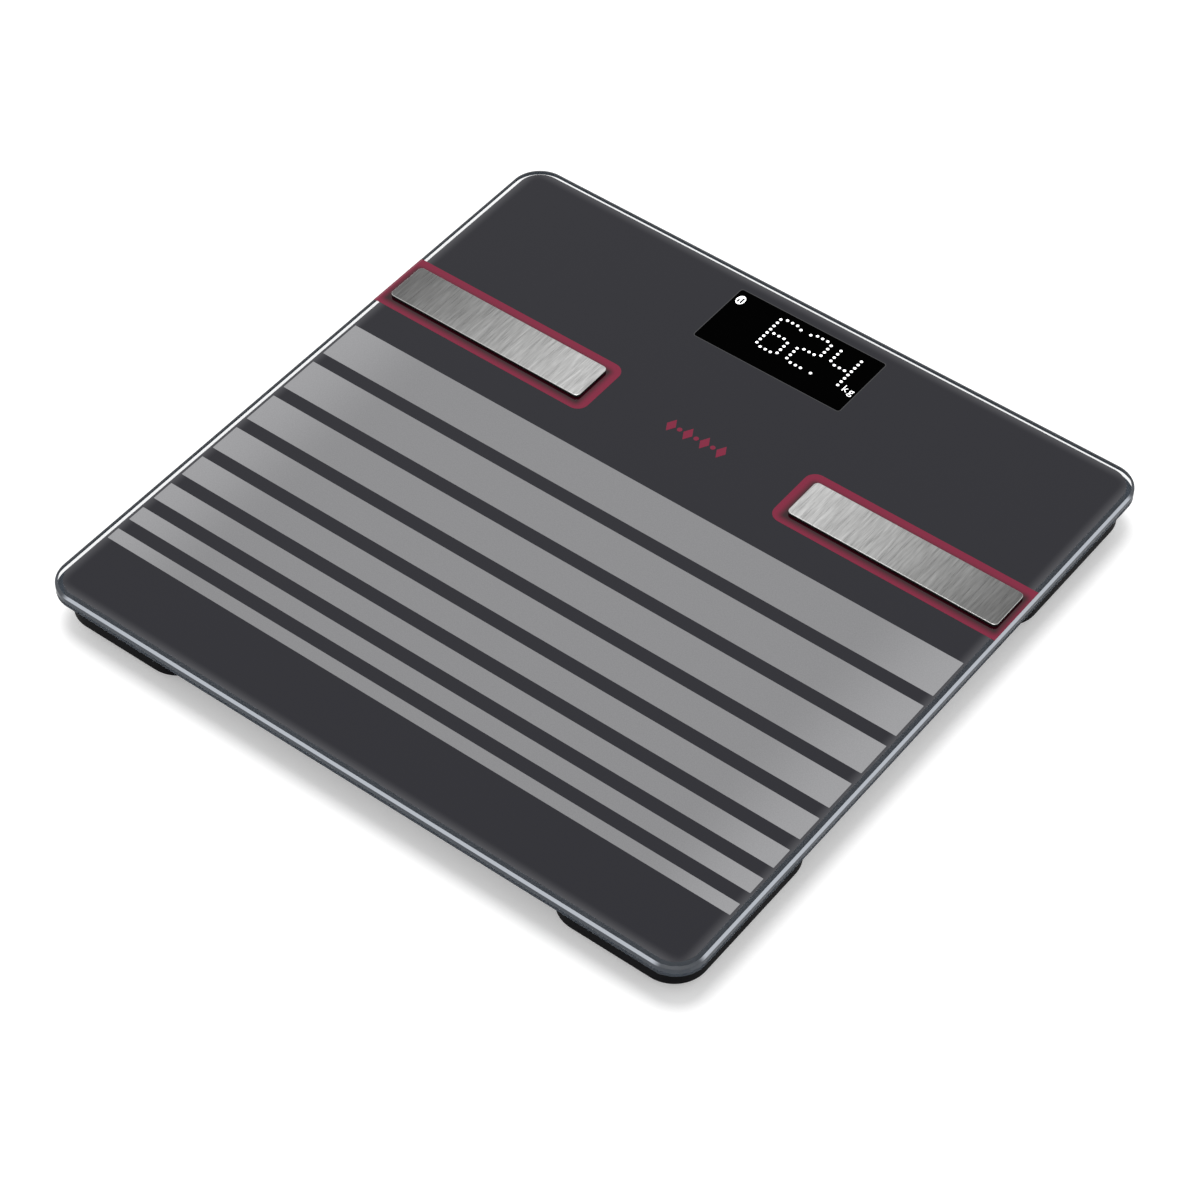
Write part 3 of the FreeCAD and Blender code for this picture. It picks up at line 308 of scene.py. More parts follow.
# ---------------------------------------------------------------------------------------
# Shader helpers
# ---------------------------------------------------------------------------------------
class Finish:
    """A material with its surface shader, and short calls that wire up its texture."""

    def __init__(self, name, base, roughness, **sockets):
        self.material = bpy.data.materials.new(name)
        self.material.use_nodes = True
        self.material.diffuse_color = (*base, 1)
        self.tree = self.material.node_tree
        self.surface = self.tree.nodes["Principled BSDF"]
        self.set("Base Color", (*base, 1))
        self.set("Roughness", roughness)
        for socket, value in sockets.items():
            self.set(socket.replace("_", " "), value)

    def set(self, socket, value):
        self.surface.inputs[socket].default_value = value

    def link(self, value, socket):
        self.tree.links.new(value, self.surface.inputs[socket])

    def feed(self, socket, value):
        """Wire a value into a node's socket, or set it there."""
        if isinstance(value, bpy.types.NodeSocket):
            self.tree.links.new(value, socket)
        else:
            socket.default_value = value

    def place(self, stretch=(1, 1, 1)):
        """The place on the piece, stretched along its axes."""
        spot = self.tree.nodes.new("ShaderNodeTexCoord").outputs["Object"]
        mapping = self.tree.nodes.new("ShaderNodeMapping")
        mapping.inputs["Scale"].default_value = stretch
        self.tree.links.new(spot, mapping.inputs["Vector"])
        return mapping.outputs["Vector"]

    def noise(self, scale, detail=3.0, stretch=(1, 1, 1), roughness=0.5):
        texture = self.tree.nodes.new("ShaderNodeTexNoise")
        texture.inputs["Scale"].default_value = scale
        texture.inputs["Detail"].default_value = detail
        texture.inputs["Roughness"].default_value = roughness
        self.tree.links.new(self.place(stretch), texture.inputs["Vector"])
        return texture.outputs["Fac"]

    def cells(self, scale):
        texture = self.tree.nodes.new("ShaderNodeTexVoronoi")
        texture.inputs["Scale"].default_value = scale
        self.tree.links.new(self.place(), texture.inputs["Vector"])
        return texture.outputs["Distance"]

    def axis(self, name):
        split = self.tree.nodes.new("ShaderNodeSeparateXYZ")
        self.tree.links.new(self.place(), split.inputs["Vector"])
        return split.outputs[name]

    def sum(self, operation, first, second=0.0):
        node = self.tree.nodes.new("ShaderNodeMath")
        node.operation = operation
        self.feed(node.inputs[0], first)
        self.feed(node.inputs[1], second)
        return node.outputs["Value"]

    def ranged(self, value, low, high, to_low, to_high, soft=False):
        node = self.tree.nodes.new("ShaderNodeMapRange")
        node.interpolation_type = "SMOOTHSTEP" if soft else "LINEAR"
        for socket, number in (("From Min", low), ("From Max", high),
                               ("To Min", to_low), ("To Max", to_high)):
            node.inputs[socket].default_value = number
        self.tree.links.new(value, node.inputs["Value"])
        return node.outputs["Result"]

    def mixed(self, factor, first, second, blend="MIX"):
        node = self.tree.nodes.new("ShaderNodeMix")
        node.data_type = "RGBA"
        node.blend_type = blend
        self.feed(node.inputs["Factor"], factor)
        for socket, value in ((node.inputs[6], first), (node.inputs[7], second)):
            self.feed(socket, value if isinstance(value, bpy.types.NodeSocket) else (*value, 1))
        return node.outputs[2]

    def scaled(self, colour, factor):
        node = self.tree.nodes.new("ShaderNodeVectorMath")
        node.operation = "SCALE"
        self.tree.links.new(colour, node.inputs[0])
        self.tree.links.new(factor, node.inputs["Scale"])
        return node.outputs["Vector"]

    def bumped(self, height, distance, strength=1.0):
        node = self.tree.nodes.new("ShaderNodeBump")
        node.inputs["Distance"].default_value = distance
        node.inputs["Strength"].default_value = strength
        self.tree.links.new(height, node.inputs["Height"])
        self.link(node.outputs["Normal"], "Normal")

    def painted_glow_share(self, wide):
        """Mask of the painted glow: one at the rim of the plate, falling to nothing over the given width.
        """
        half = PLATE_WIDE / 2
        across = self.sum("SUBTRACT", half, self.sum("ABSOLUTE", self.axis("X")))
        along = self.sum("SUBTRACT", half, self.sum("ABSOLUTE", self.axis("Y")))
        nearest = self.sum("SMOOTH_MIN", across, along)
        nearest.node.inputs[2].default_value = wide
        return self.ranged(nearest, GLOW_START, GLOW_START + wide, 1, 0, soft=True)


def shade(base, factor):
    """A colour made lighter or darker."""
    return [level * factor for level in base]


def glass_over(name, base, roughness=0.03):
    """A print under glass: the glass gives the gloss, with a faint haze of wear."""
    finish = Finish(name, base, roughness, IOR=1.46)
    haze = finish.noise(14, detail=4)
    finish.link(finish.ranged(haze, 0.35, 0.75, roughness, roughness + 0.05), "Roughness")
    return finish


def ground_print():
    settings = bpy.context.scene.bathroom_scale
    colours = settings.colours
    finish = glass_over("ground_print", colours.ground)
    grain = finish.ranged(finish.noise(1800, detail=1), 0.3, 0.7, 0, 0.12)
    ground = finish.mixed(grain, colours.ground, shade(colours.ground, 1.35))
    # Painted light: the ground is painted lighter towards the rim, standing in for light that enters
    # through the glass edge.
    rim = finish.painted_glow_share(settings.glass.glow_wide)
    finish.link(finish.mixed(rim, ground, colours.glow), "Base Color")
    return finish.material


def rim_print():
    """The side of the printed core, seen through the clear rim."""
    finish = Finish("rim_print", (0.066, 0.069, 0.077), 0.5, Specular_IOR_Level=0.1)
    cloud = finish.ranged(finish.noise(60), 0.3, 0.7, 0, 1)
    finish.link(finish.mixed(cloud, (0.062, 0.065, 0.072), (0.07, 0.073, 0.082)), "Base Color")
    return finish.material


def under_print():
    """Back of the printed coat, seen from below."""
    finish = Finish("under_print", (0.014, 0.014, 0.016), 0.45)
    cloud = finish.noise(25, detail=5)
    finish.link(finish.ranged(cloud, 0.3, 0.7, 0.38, 0.55), "Roughness")
    finish.link(finish.mixed(cloud, (0.012, 0.012, 0.014), (0.02, 0.02, 0.023)), "Base Color")
    finish.bumped(finish.noise(900, detail=2), 0.00002, 0.4)
    return finish.material


def clear_glass():
    """The unprinted rim, a blue-grey tint over what lies behind it."""
    finish = Finish("clear_glass", (0.19, 0.225, 0.27), 0.05, Alpha=0.13)
    haze = finish.noise(90, detail=3)
    finish.link(finish.ranged(haze, 0.45, 0.75, 0.03, 0.09), "Roughness")
    return finish.material


def ground_glass():
    """The chamfer, ground and lightly polished: pale face on, dark where it is seen at a slant, and
    painted shade round the plate's rounded corners.
    """
    pale, dark = (0.39, 0.415, 0.455), (0.036, 0.04, 0.046)
    finish = Finish("ground_glass", pale, 0.28, Specular_IOR_Level=0.1)
    slant = finish.tree.nodes.new("ShaderNodeLayerWeight").outputs["Facing"]
    share = finish.ranged(slant, 0.26, 0.42, 0, 1, soft=True)
    round_start = PLATE_WIDE / 2 - bpy.context.scene.bathroom_scale.glass.corner
    inner = finish.sum("MINIMUM", finish.sum("ABSOLUTE", finish.axis("X")),
                       finish.sum("ABSOLUTE", finish.axis("Y")))
    # Painted shade: the chamfer is darkened along the rounded corners, where it catches less light.
    begin, end = CORNER_SHADE
    corner = finish.ranged(inner, round_start + begin, round_start + end, 0, 0.9, soft=True)
    finish.link(finish.mixed(finish.sum("MAXIMUM", share, corner), pale, dark), "Base Color")
    grind = finish.noise(2600, detail=2)
    finish.link(finish.ranged(grind, 0.3, 0.7, 0.2, 0.38), "Roughness")
    finish.bumped(grind, 0.00001, 0.5)
    return finish.material


def tinted_rim(name, base):
    """The upper wall or the underside of the rim, backed by the blue-grey of the print."""
    finish = Finish(name, base, 0.3, Specular_IOR_Level=0.1)
    cloud = finish.noise(70)
    finish.link(finish.mixed(cloud, shade(base, 0.93), shade(base, 1.07)), "Base Color")
    finish.link(finish.ranged(cloud, 0.3, 0.7, 0.25, 0.4), "Roughness")
    return finish.material


def stripe_print():
    colours = bpy.context.scene.bathroom_scale.colours
    finish = glass_over("stripe_print", colours.stripe)
    from_end = finish.sum("ABSOLUTE", finish.axis("X"))
    lighter = finish.ranged(from_end, 0.105, 0.147, 0, 1, soft=True)
    flakes = finish.ranged(finish.noise(2400, detail=1), 0.35, 0.65, 0.94, 1.04)
    mixed = finish.mixed(lighter, colours.stripe, colours.stripe_end)
    finish.link(finish.scaled(mixed, flakes), "Base Color")
    return finish.material


def panel_print():
    """The coloured panels, with the electrodes' soft shadow painted round them."""
    colours = bpy.context.scene.bathroom_scale.colours
    finish = glass_over("panel_print", colours.panel)
    grain = finish.ranged(finish.noise(2000, detail=1), 0.35, 0.65, 0, 0.25)
    red = finish.mixed(grain, colours.panel, shade(colours.panel, 0.8))
    low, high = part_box("electrode_right")
    beside = []
    for axis, shift in (("X", 0), ("Y", SHADE_SHIFT)):
        middle = (getattr(low, axis.lower()) + getattr(high, axis.lower())) / 2 - shift
        half = (getattr(high, axis.lower()) - getattr(low, axis.lower())) / 2
        place = finish.axis(axis)
        if axis == "X":
            place = finish.sum("ABSOLUTE", place)
        away = finish.sum("SUBTRACT", finish.sum("ABSOLUTE", finish.sum("SUBTRACT", place, middle)), half)
        beside.append(finish.sum("POWER", finish.sum("MAXIMUM", away, 0), 2))
    away = finish.sum("SQRT", finish.sum("ADD", *beside))
    # Painted shadow: the panel darkens within reach of each electrode, shifted towards the front.
    painted_shadow = finish.ranged(away, 0, SHADE_REACH, 0.92, 0, soft=True)
    finish.link(finish.mixed(painted_shadow, red, (0.006, 0.0005, 0.001)), "Base Color")
    return finish.material


def window_print():
    colours = bpy.context.scene.bathroom_scale.colours
    finish = Finish("display_window", colours.window, 0.02, Specular_IOR_Level=0.004)
    tint = finish.noise(40, detail=2)
    finish.link(finish.mixed(tint, colours.window, shade(colours.window, 1.5)), "Base Color")
    return finish.material


def window_line():
    finish = glass_over("window_line", (0.04, 0.04, 0.043))
    finish.link(finish.mixed(finish.noise(500), (0.035, 0.035, 0.038), (0.05, 0.05, 0.053)), "Base Color")
    return finish.material


def lit_dot():
    colours = bpy.context.scene.bathroom_scale.colours
    finish = Finish("lit_dot", colours.light, 0.3, Emission_Strength=1.0)
    bright = finish.mixed(finish.noise(700), (0.96, 0.97, 1.0), (1.0, 1.0, 1.0))
    finish.link(bright, "Emission Color")
    return finish.material


def brushed_steel(side):
    """Sheet brushed across its length, with a painted reflection: lighter towards the middle of the
    scale.
    """
    colours = bpy.context.scene.bathroom_scale.colours
    finish = Finish(f"brushed_steel_{side}", colours.steel_painted_bright, 0.32, Metallic=1.0)
    # Painted reflection: the steel's colour runs from bright at the inner end to dark at the outer end.
    from_middle = finish.sum("ABSOLUTE", finish.axis("X"))
    painted_sheen_share = finish.ranged(from_middle, 0.048, 0.148, 0, 1)
    painted_sheen = finish.mixed(painted_sheen_share, colours.steel_painted_bright, colours.steel_painted_dark)
    coarse = finish.noise(900, detail=5, stretch=(1, 0.07, 1), roughness=0.6)
    fine = finish.noise(3200, detail=4, stretch=(1, 0.035, 1), roughness=0.7)
    streaks = finish.sum("MULTIPLY", finish.sum("ADD", coarse, fine), 0.5)
    depth = finish.ranged(streaks, 0.36, 0.64, 0.76, 1.2)
    finish.link(finish.scaled(painted_sheen, depth), "Base Color")
    finish.link(finish.ranged(streaks, 0.35, 0.65, 0.24, 0.42), "Roughness")
    finish.bumped(streaks, 0.00004, 0.35)
    return finish.material


def steel_edge():
    finish = Finish("steel_edge", (0.6, 0.6, 0.59), 0.2, Metallic=1.0)
    finish.link(finish.ranged(finish.noise(1500), 0.3, 0.7, 0.14, 0.3), "Roughness")
    return finish.material


def moulded_plastic(name, base, grain=1500, roughness=0.5, shine=0.1):
    """Injection-moulded plastic with a spark-eroded texture."""
    finish = Finish(name, base, roughness, Specular_IOR_Level=shine)
    texture = finish.cells(grain)
    cloud = finish.noise(35, detail=4)
    finish.link(finish.ranged(cloud, 0.3, 0.7, roughness - 0.07, roughness + 0.07), "Roughness")
    finish.link(finish.mixed(cloud, base, shade(base, 1.4)), "Base Color")
    finish.bumped(texture, 0.00003, 0.3)
    return finish.material


def foot_rubber():
    colours = bpy.context.scene.bathroom_scale.colours
    finish = Finish("foot_rubber", colours.rubber, 0.75, Specular_IOR_Level=0.3)
    dust = finish.noise(160, detail=6, roughness=0.7)
    dusty = finish.ranged(dust, 0.45, 0.75, 0, 0.7)
    finish.link(finish.mixed(dusty, colours.rubber, shade(colours.rubber, 2.6)), "Base Color")
    finish.link(finish.ranged(dust, 0.3, 0.7, 0.65, 0.85), "Roughness")
    finish.bumped(finish.noise(1300, detail=3), 0.00004, 0.6)
    return finish.material


def plated_metal(name, base, roughness=0.28):
    """Plated or rolled metal with small scratches and a slight cloud."""
    finish = Finish(name, base, roughness, Metallic=1.0)
    cloud = finish.noise(120, detail=5)
    scratches = finish.noise(1700, detail=4, stretch=(1, 0.12, 1), roughness=0.7)
    finish.link(finish.ranged(scratches, 0.3, 0.7, roughness - 0.08, roughness + 0.12), "Roughness")
    finish.link(finish.mixed(cloud, shade(base, 0.82), base), "Base Color")
    finish.bumped(scratches, 0.00002, 0.3)
    return finish.material


def lead_skin(name, base):
    """Soft extruded insulation."""
    finish = Finish(name, base, 0.42)
    cloud = finish.noise(220, detail=4)
    finish.link(finish.mixed(cloud, shade(base, 0.8), base), "Base Color")
    finish.link(finish.ranged(cloud, 0.3, 0.7, 0.35, 0.52), "Roughness")
    finish.bumped(finish.noise(1600, detail=2), 0.00003, 0.3)
    return finish.material


def clear_sheet():
    finish = Finish("gasket_film", (0.5, 0.5, 0.48), 0.3)
    finish.link(finish.ranged(finish.noise(600), 0.3, 0.7, 0.22, 0.4), "Roughness")
    return finish.material


def gauge_film():
    finish = Finish("gauge_film", (0.55, 0.42, 0.16), 0.3)
    lines = finish.tree.nodes.new("ShaderNodeTexWave")
    lines.inputs["Scale"].default_value = 520
    lines.inputs["Distortion"].default_value = 0.4
    finish.tree.links.new(finish.place(), lines.inputs["Vector"])
    foil = finish.ranged(lines.outputs["Fac"], 0.45, 0.55, 0, 1)
    finish.link(finish.mixed(foil, (0.55, 0.42, 0.16), (0.38, 0.36, 0.32)), "Base Color")
    return finish.material


def battery_jacket(name, plus_end, minus_end):
    """Printed sleeve: a dark body, a coppery band at the plus end and bare metal ends."""
    finish = Finish(name, (0.03, 0.035, 0.045), 0.25)
    along = finish.ranged(finish.axis("Y"), minus_end, plus_end, 0, 1)
    band = finish.ranged(along, 0.715, 0.725, 0, 1)
    metal_plus = finish.ranged(along, 0.968, 0.972, 0, 1)
    metal_minus = finish.ranged(along, 0.008, 0.012, 1, 0)
    metal = finish.sum("MAXIMUM", metal_plus, metal_minus)
    dark = finish.mixed(finish.noise(90), (0.022, 0.026, 0.036), (0.04, 0.045, 0.055))
    sleeve = finish.mixed(band, dark, (0.42, 0.19, 0.07))
    finish.link(finish.mixed(metal, sleeve, (0.62, 0.62, 0.6)), "Base Color")
    finish.link(finish.sum("MAXIMUM", metal, finish.sum("MULTIPLY", band, 0.7)), "Metallic")
    finish.link(finish.ranged(finish.noise(800), 0.3, 0.7, 0.18, 0.34), "Roughness")
    return finish.material


def circuit_board():
    """Green lacquer over copper tracks."""
    finish = Finish("circuit_board", (0.01, 0.11, 0.045), 0.3)
    tracks = finish.tree.nodes.new("ShaderNodeTexBrick")
    tracks.inputs["Scale"].default_value = 260
    tracks.inputs["Mortar Size"].default_value = 0.06
    tracks.inputs["Color1"].default_value = (0.012, 0.13, 0.052, 1)
    tracks.inputs["Color2"].default_value = (0.009, 0.1, 0.04, 1)
    tracks.inputs["Mortar"].default_value = (0.02, 0.19, 0.075, 1)
    finish.tree.links.new(finish.place(), tracks.inputs["Vector"])
    finish.link(tracks.outputs["Color"], "Base Color")
    finish.bumped(tracks.outputs["Fac"], 0.00004, 0.4)
    return finish.material


def studio_floor():
    stage = bpy.context.scene.bathroom_scale.stage
    finish = Finish("studio_floor", stage.floor, 0.7, Specular_IOR_Level=0.1)
    cloud = finish.noise(3, detail=2)
    finish.link(finish.mixed(cloud, stage.floor, shade(stage.floor, 0.99)), "Base Color")
    finish.set("Emission Color", (1, 1, 1, 1))
    finish.set("Emission Strength", stage.floor_glow)
    return finish.material


# ---------------------------------------------------------------------------------------
# Pieces
# ---------------------------------------------------------------------------------------
class PlateOperator(bpy.types.Operator):
    """Make the printed core and the clear glass round it"""
    bl_idname = "bathroom_scale.plate"
    bl_label = "Glass plate"

    def execute(self, context):
        glass = context.scene.bathroom_scale.glass
        low, high = PLATE_LOW.z, PLATE_HIGH.z
        rim, wide, tall = glass.clear_rim, glass.chamfer_wide, glass.chamfer_tall

        form = slab_form(PLATE_WIDE, PLATE_WIDE, glass.corner, [(rim, low), (rim, high)], steps=20)
        form.normal_update()
        for face in form.faces:
            if abs(face.normal.z) < 0.5:
                face.material_index = 1
            elif face.normal.z < 0:
                face.material_index = 2
        core = piece("printed_core", form, [ground_print(), rim_print(), under_print()])
        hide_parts("glass_plate")

        band = high - glass.band_tall
        profile = eased([(rim, low), (wide, low), (0, low + tall), (0, band), (0, high - tall),
                         (wide, high), (rim, high)], RIM_ROUND)
        form = slab_form(PLATE_WIDE, PLATE_WIDE, glass.corner, profile, bottom=False, top=False,
                         steps=20)
        form.normal_update()
        for face in form.faces:
            if 0.2 < face.normal.z < 0.95:
                face.material_index = 1
            elif face.normal.z < -0.2:
                face.material_index = 2
            elif band < face.calc_center_median().z < high - tall:
                face.material_index = 3
        finishes = [clear_glass(), ground_glass(), tinted_rim("rim_under", (0.042, 0.051, 0.065)),
                    tinted_rim("rim_band", (0.048, 0.056, 0.068))]
        weigh_normals(piece("glass_rim", form, finishes, smooth=50))
        return {"FINISHED"}


class StripesOperator(bpy.types.Operator):
    """Print the stripes, the coloured panels and the ornament"""
    bl_idname = "bathroom_scale.prints"
    bl_label = "Printed stripes and panels"

    def execute(self, context):
        settings = context.scene.bathroom_scale
        prints, glass = settings.prints, settings.glass
        low, high = PLATE_HIGH.z - glass.print_lift, PLATE_HIGH.z + glass.print_lift

        forms = []
        far = prints.stripe_first
        tall = prints.stripe_widest
        for number in range(prints.stripe_count):
            outline = rounded_rectangle(2 * prints.stripe_half, tall, 0.2 * MM, 2)
            forms.append(layer_form(outline, low, high, (0, far - tall / 2)))
            far -= tall + prints.stripe_gap
            tall -= prints.stripe_step
        piece("printed_stripes", joined(forms), [stripe_print()])

        red = panel_print()
        inner, near, back = prints.panel_inner, prints.panel_near, prints.panel_far
        for side, way in SIDES:
            outer = PLATE_WIDE / 2 - glass.chamfer_wide
            arc = rounded_rectangle(2 * (outer - inner), back - near, prints.panel_corner, 8)
            outline = [(way * (outer + min(x, 0)), y + (near + back) / 2) for x, y in arc if x < 0]
            outline = [(way * outer, back)] + outline + [(way * outer, near)]
            form = layer_form(outline, low, high)
            if side == "left":
                edge = way * PLATE_WIDE / 2
                drop = PLATE_HIGH.z - glass.chamfer_tall
                form.faces.new([form.verts.new(point) for point in (
                    (way * outer, back, high), (way * outer, near, high),
                    (edge, near, drop), (edge, back, drop))])
            bmesh.ops.recalc_face_normals(form, faces=form.faces)
            piece(f"printed_panel_{side}", form, [red])

        forms = []
        for number in range(ORNAMENT_COUNT):
            steps, half_wide, half_tall = (DIAMOND, BEAD)[number % 2]
            x, y = ORNAMENT_MIDDLE
            x += (number - (ORNAMENT_COUNT - 1) / 2) * ORNAMENT_PITCH
            outline = [(half_wide * across, half_tall * along) for across, along in circle(1, steps)]
            forms.append(layer_form(outline, low, high, (x, y)))
        piece("printed_ornament", joined(forms), [red])
        return {"FINISHED"}


DIGITS = (("aegcdf", "b"), ("abged", "f"), ("fgbc", ""))
DIGIT_LEFT = -13.3 * MM
DIGIT_PITCH = 14.7 * MM
DIGIT_WIDE = 9.9 * MM
DIGIT_BOTTOM = 118.0 * MM
DIGIT_HALF = 9.4 * MM
DOT_STEP = 2.34 * MM
DOT_FIRST = 1.2 * MM


def dot_spots():
    """Middles of the lit dots: three digits of seven segments, and a point."""
    levels = {"d": DIGIT_BOTTOM, "g": DIGIT_BOTTOM + DIGIT_HALF, "a": DIGIT_BOTTOM + 2 * DIGIT_HALF}
    spots = [(13.7 * MM, DIGIT_BOTTOM)]
    for number, (segments, stub) in enumerate(DIGITS):
        left = DIGIT_LEFT + number * DIGIT_PITCH
        for segment in "adg":
            if segment in segments:
                spots += [(left + DIGIT_WIDE * share / 4, levels[segment]) for share in (1, 2, 3)]
        for segment, x, start in (("f", left, "g"), ("b", left + DIGIT_WIDE, "g"),
                                  ("e", left, "d"), ("c", left + DIGIT_WIDE, "d")):
            for dot in range(4):
                if segment in segments or (segment == stub and dot == 3):
                    spots.append((x, levels[start] + DOT_FIRST + dot * DOT_STEP))
    return spots


class DisplayOperator(bpy.types.Operator):
    """Make the display window with its lit reading"""
    bl_idname = "bathroom_scale.display"
    bl_label = "Display"

    def execute(self, context):
        settings = context.scene.bathroom_scale
        prints, lift = settings.prints, settings.glass.print_lift
        top = PLATE_HIGH.z
        middle = (WINDOW_X, prints.window_y)
        line = rounded_rectangle(prints.window_wide + 2 * WINDOW_LINE,
                                 prints.window_long + 2 * WINDOW_LINE, 1.5 * MM)
        piece("window_line", layer_form(line, top - lift, top + lift, middle), [window_line()])
        pane = rounded_rectangle(prints.window_wide, prints.window_long, WINDOW_CORNER)
        piece("display_window", layer_form(pane, top - lift, top + 2 * lift, middle),
              [window_print()])

        light = lit_dot()
        forms = [layer_form(circle(prints.dot_size / 2, 24), top, top + 3 * lift, spot)
                 for spot in dot_spots()]
        piece("lit_dots", joined(forms), [light])

        letters = bpy.data.curves.new("unit_letters", "FONT")
        letters.body = "kg"
        letters.size = UNIT_SIZE
        letters.offset = UNIT_THINNER
        letters.extrude = lift
        letters.space_character = UNIT_SPACING
        made = bpy.data.objects.new("unit_letters", letters)
        context.scene.collection.objects.link(made)
        made.location = (*UNIT_PLACE, top + 2 * lift)
        made.data.materials.append(light)
        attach(made, "scale")

        badge = [(x * BADGE_NARROW, y) for x, y in circle(BADGE_RADIUS)]
        piece("link_badge", layer_form(badge, top, top + 3 * lift, BADGE_PLACE), [light])
        bars = []
        x, y = BAR_FIRST
        for number, tall in enumerate(BAR_HEIGHTS):
            outline = rounded_rectangle(BAR_WIDE, tall, 0.1 * MM, 3)
            bars.append(layer_form(outline, top, top + 4 * lift,
                                   (x + BAR_PITCH * number, y + tall / 2)))
        piece("link_bars", joined(bars), [window_print()])
        return {"FINISHED"}


class ElectrodesOperator(bpy.types.Operator):
    """Make the brushed steel electrodes"""
    bl_idname = "bathroom_scale.electrodes"
    bl_label = "Electrodes"

    def execute(self, context):
        edge = steel_edge()
        # Painted shade: the sides of each sheet get a near-black steel, so they read dark as if shaded
        # instead of reflecting the bright floor.
        darkened_side = plated_metal("steel_side_painted_dark", (0.05, 0.05, 0.05), 0.6)
        for side, way in SIDES:
            node = f"electrode_{side}"
            low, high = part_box(node)
            film_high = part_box(f"electrode_film_{side}")[1]
            middle = ((low.x + high.x) / 2, (low.y + high.y) / 2)
            profile = eased([(SHEET_UNDERCUT, film_high.z), (0, film_high.z), (0, high.z),
                             (SHEET_CORNER, high.z)], SHEET_ROUND, 4)
            form = slab_form(high.x - low.x, high.y - low.y, SHEET_CORNER, profile, middle, steps=12)
            form.normal_update()
            for face in form.faces:
                if abs(face.normal.z) < 0.9:
                    face.material_index = 1 if face.normal.z > 0.3 else 2
            made = piece(node + "_sheet", form, [brushed_steel(side), edge, darkened_side],
                         smooth=60)
            weigh_normals(made)
            form = turned_form([(STUD_RADIUS - STUD_BEVEL, low.z), (STUD_RADIUS, low.z + STUD_BEVEL),
                                (STUD_RADIUS, film_high.z - 0.05 * MM)], (way * STUD_X, middle[1]), 24)
            stud = piece(node + "_stud", form, [edge], smooth=40)
            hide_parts(node)
            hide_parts(node)
        finish_nodes(clear_sheet(), "electrode_film_left", "electrode_film_right")
        return {"FINISHED"}


class HousingsOperator(bpy.types.Operator):
    """Finish the moulded housings, lids, case, cover and door"""
    bl_idname = "bathroom_scale.housings"
    bl_label = "Moulded housings"

    def execute(self, context):
        colours = context.scene.bathroom_scale.colours
        shell = moulded_plastic("housing_plastic", colours.plastic, shine=0.02)
        finish_nodes(shell, *(f"corner_housing_{corner}" for corner in CORNERS), "electronics_case")
        lid = moulded_plastic("lid_plastic", shade(colours.plastic, 1.5), 1100, 0.55)
        finish_nodes(lid, *(f"corner_lid_{corner}" for corner in CORNERS), "electronics_cover",
                     "battery_door")
        return {"FINISHED"}


class FeetOperator(bpy.types.Operator):
    """Make the grooved rubber pads and finish the feet"""
    bl_idname = "bathroom_scale.feet"
    bl_label = "Feet"

    def execute(self, context):
        rubber = foot_rubber()
        cup = moulded_plastic("foot_plastic", (0.013, 0.013, 0.014), 1300, 0.4)
        for corner in CORNERS:
            node = f"foot_pad_{corner}"
            low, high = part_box(node)
            middle = ((low.x + high.x) / 2, (low.y + high.y) / 2)
            radius = (high.x - low.x) / 2
            groove = low.z + GROOVE_DEEP
            profile = [(DIMPLE_MIDDLE, groove), (DIMPLE_RADIUS, groove), (DIMPLE_EDGE, low.z)]
            for start in GROOVE_RADII:
                end = start + GROOVE_WIDE
                profile += [(start - GROOVE_LEAN, low.z), (start, groove), (end - GROOVE_LEAN, groove),
                            (end, low.z)]
            profile += [(radius - GROOVE_LEAN, low.z), (radius, low.z + GROOVE_LEAN), (radius, high.z)]
            pad = piece(node + "_grooved", turned_form(eased(profile, PAD_ROUND, 2), middle),
                        [rubber], body=f"foot_{corner}", smooth=40)
            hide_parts(node)
            finish_nodes(cup, f"foot_cup_{corner}")
        return {"FINISHED"}


class FixingsOperator(bpy.types.Operator):
    """Finish the screws, nuts, terminals, load cells and gauges"""
    bl_idname = "bathroom_scale.fixings"
    bl_label = "Load cells and fixings"

    def execute(self, context):
        zinc = plated_metal("zinc_plate", (0.58, 0.59, 0.61))
        finish_nodes(zinc, "electrode_nuts", "load_cell_screws", "corner_lid_screws",
                     "electronics_cover_screws", *(f"foot_screw_{corner}" for corner in CORNERS))
        finish_nodes(plated_metal("tinned_brass", (0.66, 0.62, 0.5)), "ring_terminal_left",
                     "ring_terminal_right")
        finish_nodes(plated_metal("cell_steel", (0.42, 0.42, 0.43), 0.36),
                     *(f"load_cell_{corner}" for corner in CORNERS))
        finish_nodes(gauge_film(), "strain_gauges")
        return {"FINISHED"}


class PowerOperator(bpy.types.Operator):
    """Finish the batteries, their springs and their plates"""
    bl_idname = "bathroom_scale.power"
    bl_label = "Batteries"

    def execute(self, context):
        for number in (1, 2, 3):
            node = f"battery_{number}"
            low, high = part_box(node)
            ends = (low.y, high.y) if number == 2 else (high.y, low.y)
            finish_nodes(battery_jacket(f"battery_jacket_{number}", *ends), node)
        finish_nodes(plated_metal("nickel_plate", (0.7, 0.69, 0.66), 0.2), "battery_springs",
                     "battery_contact_plates")
        return {"FINISHED"}


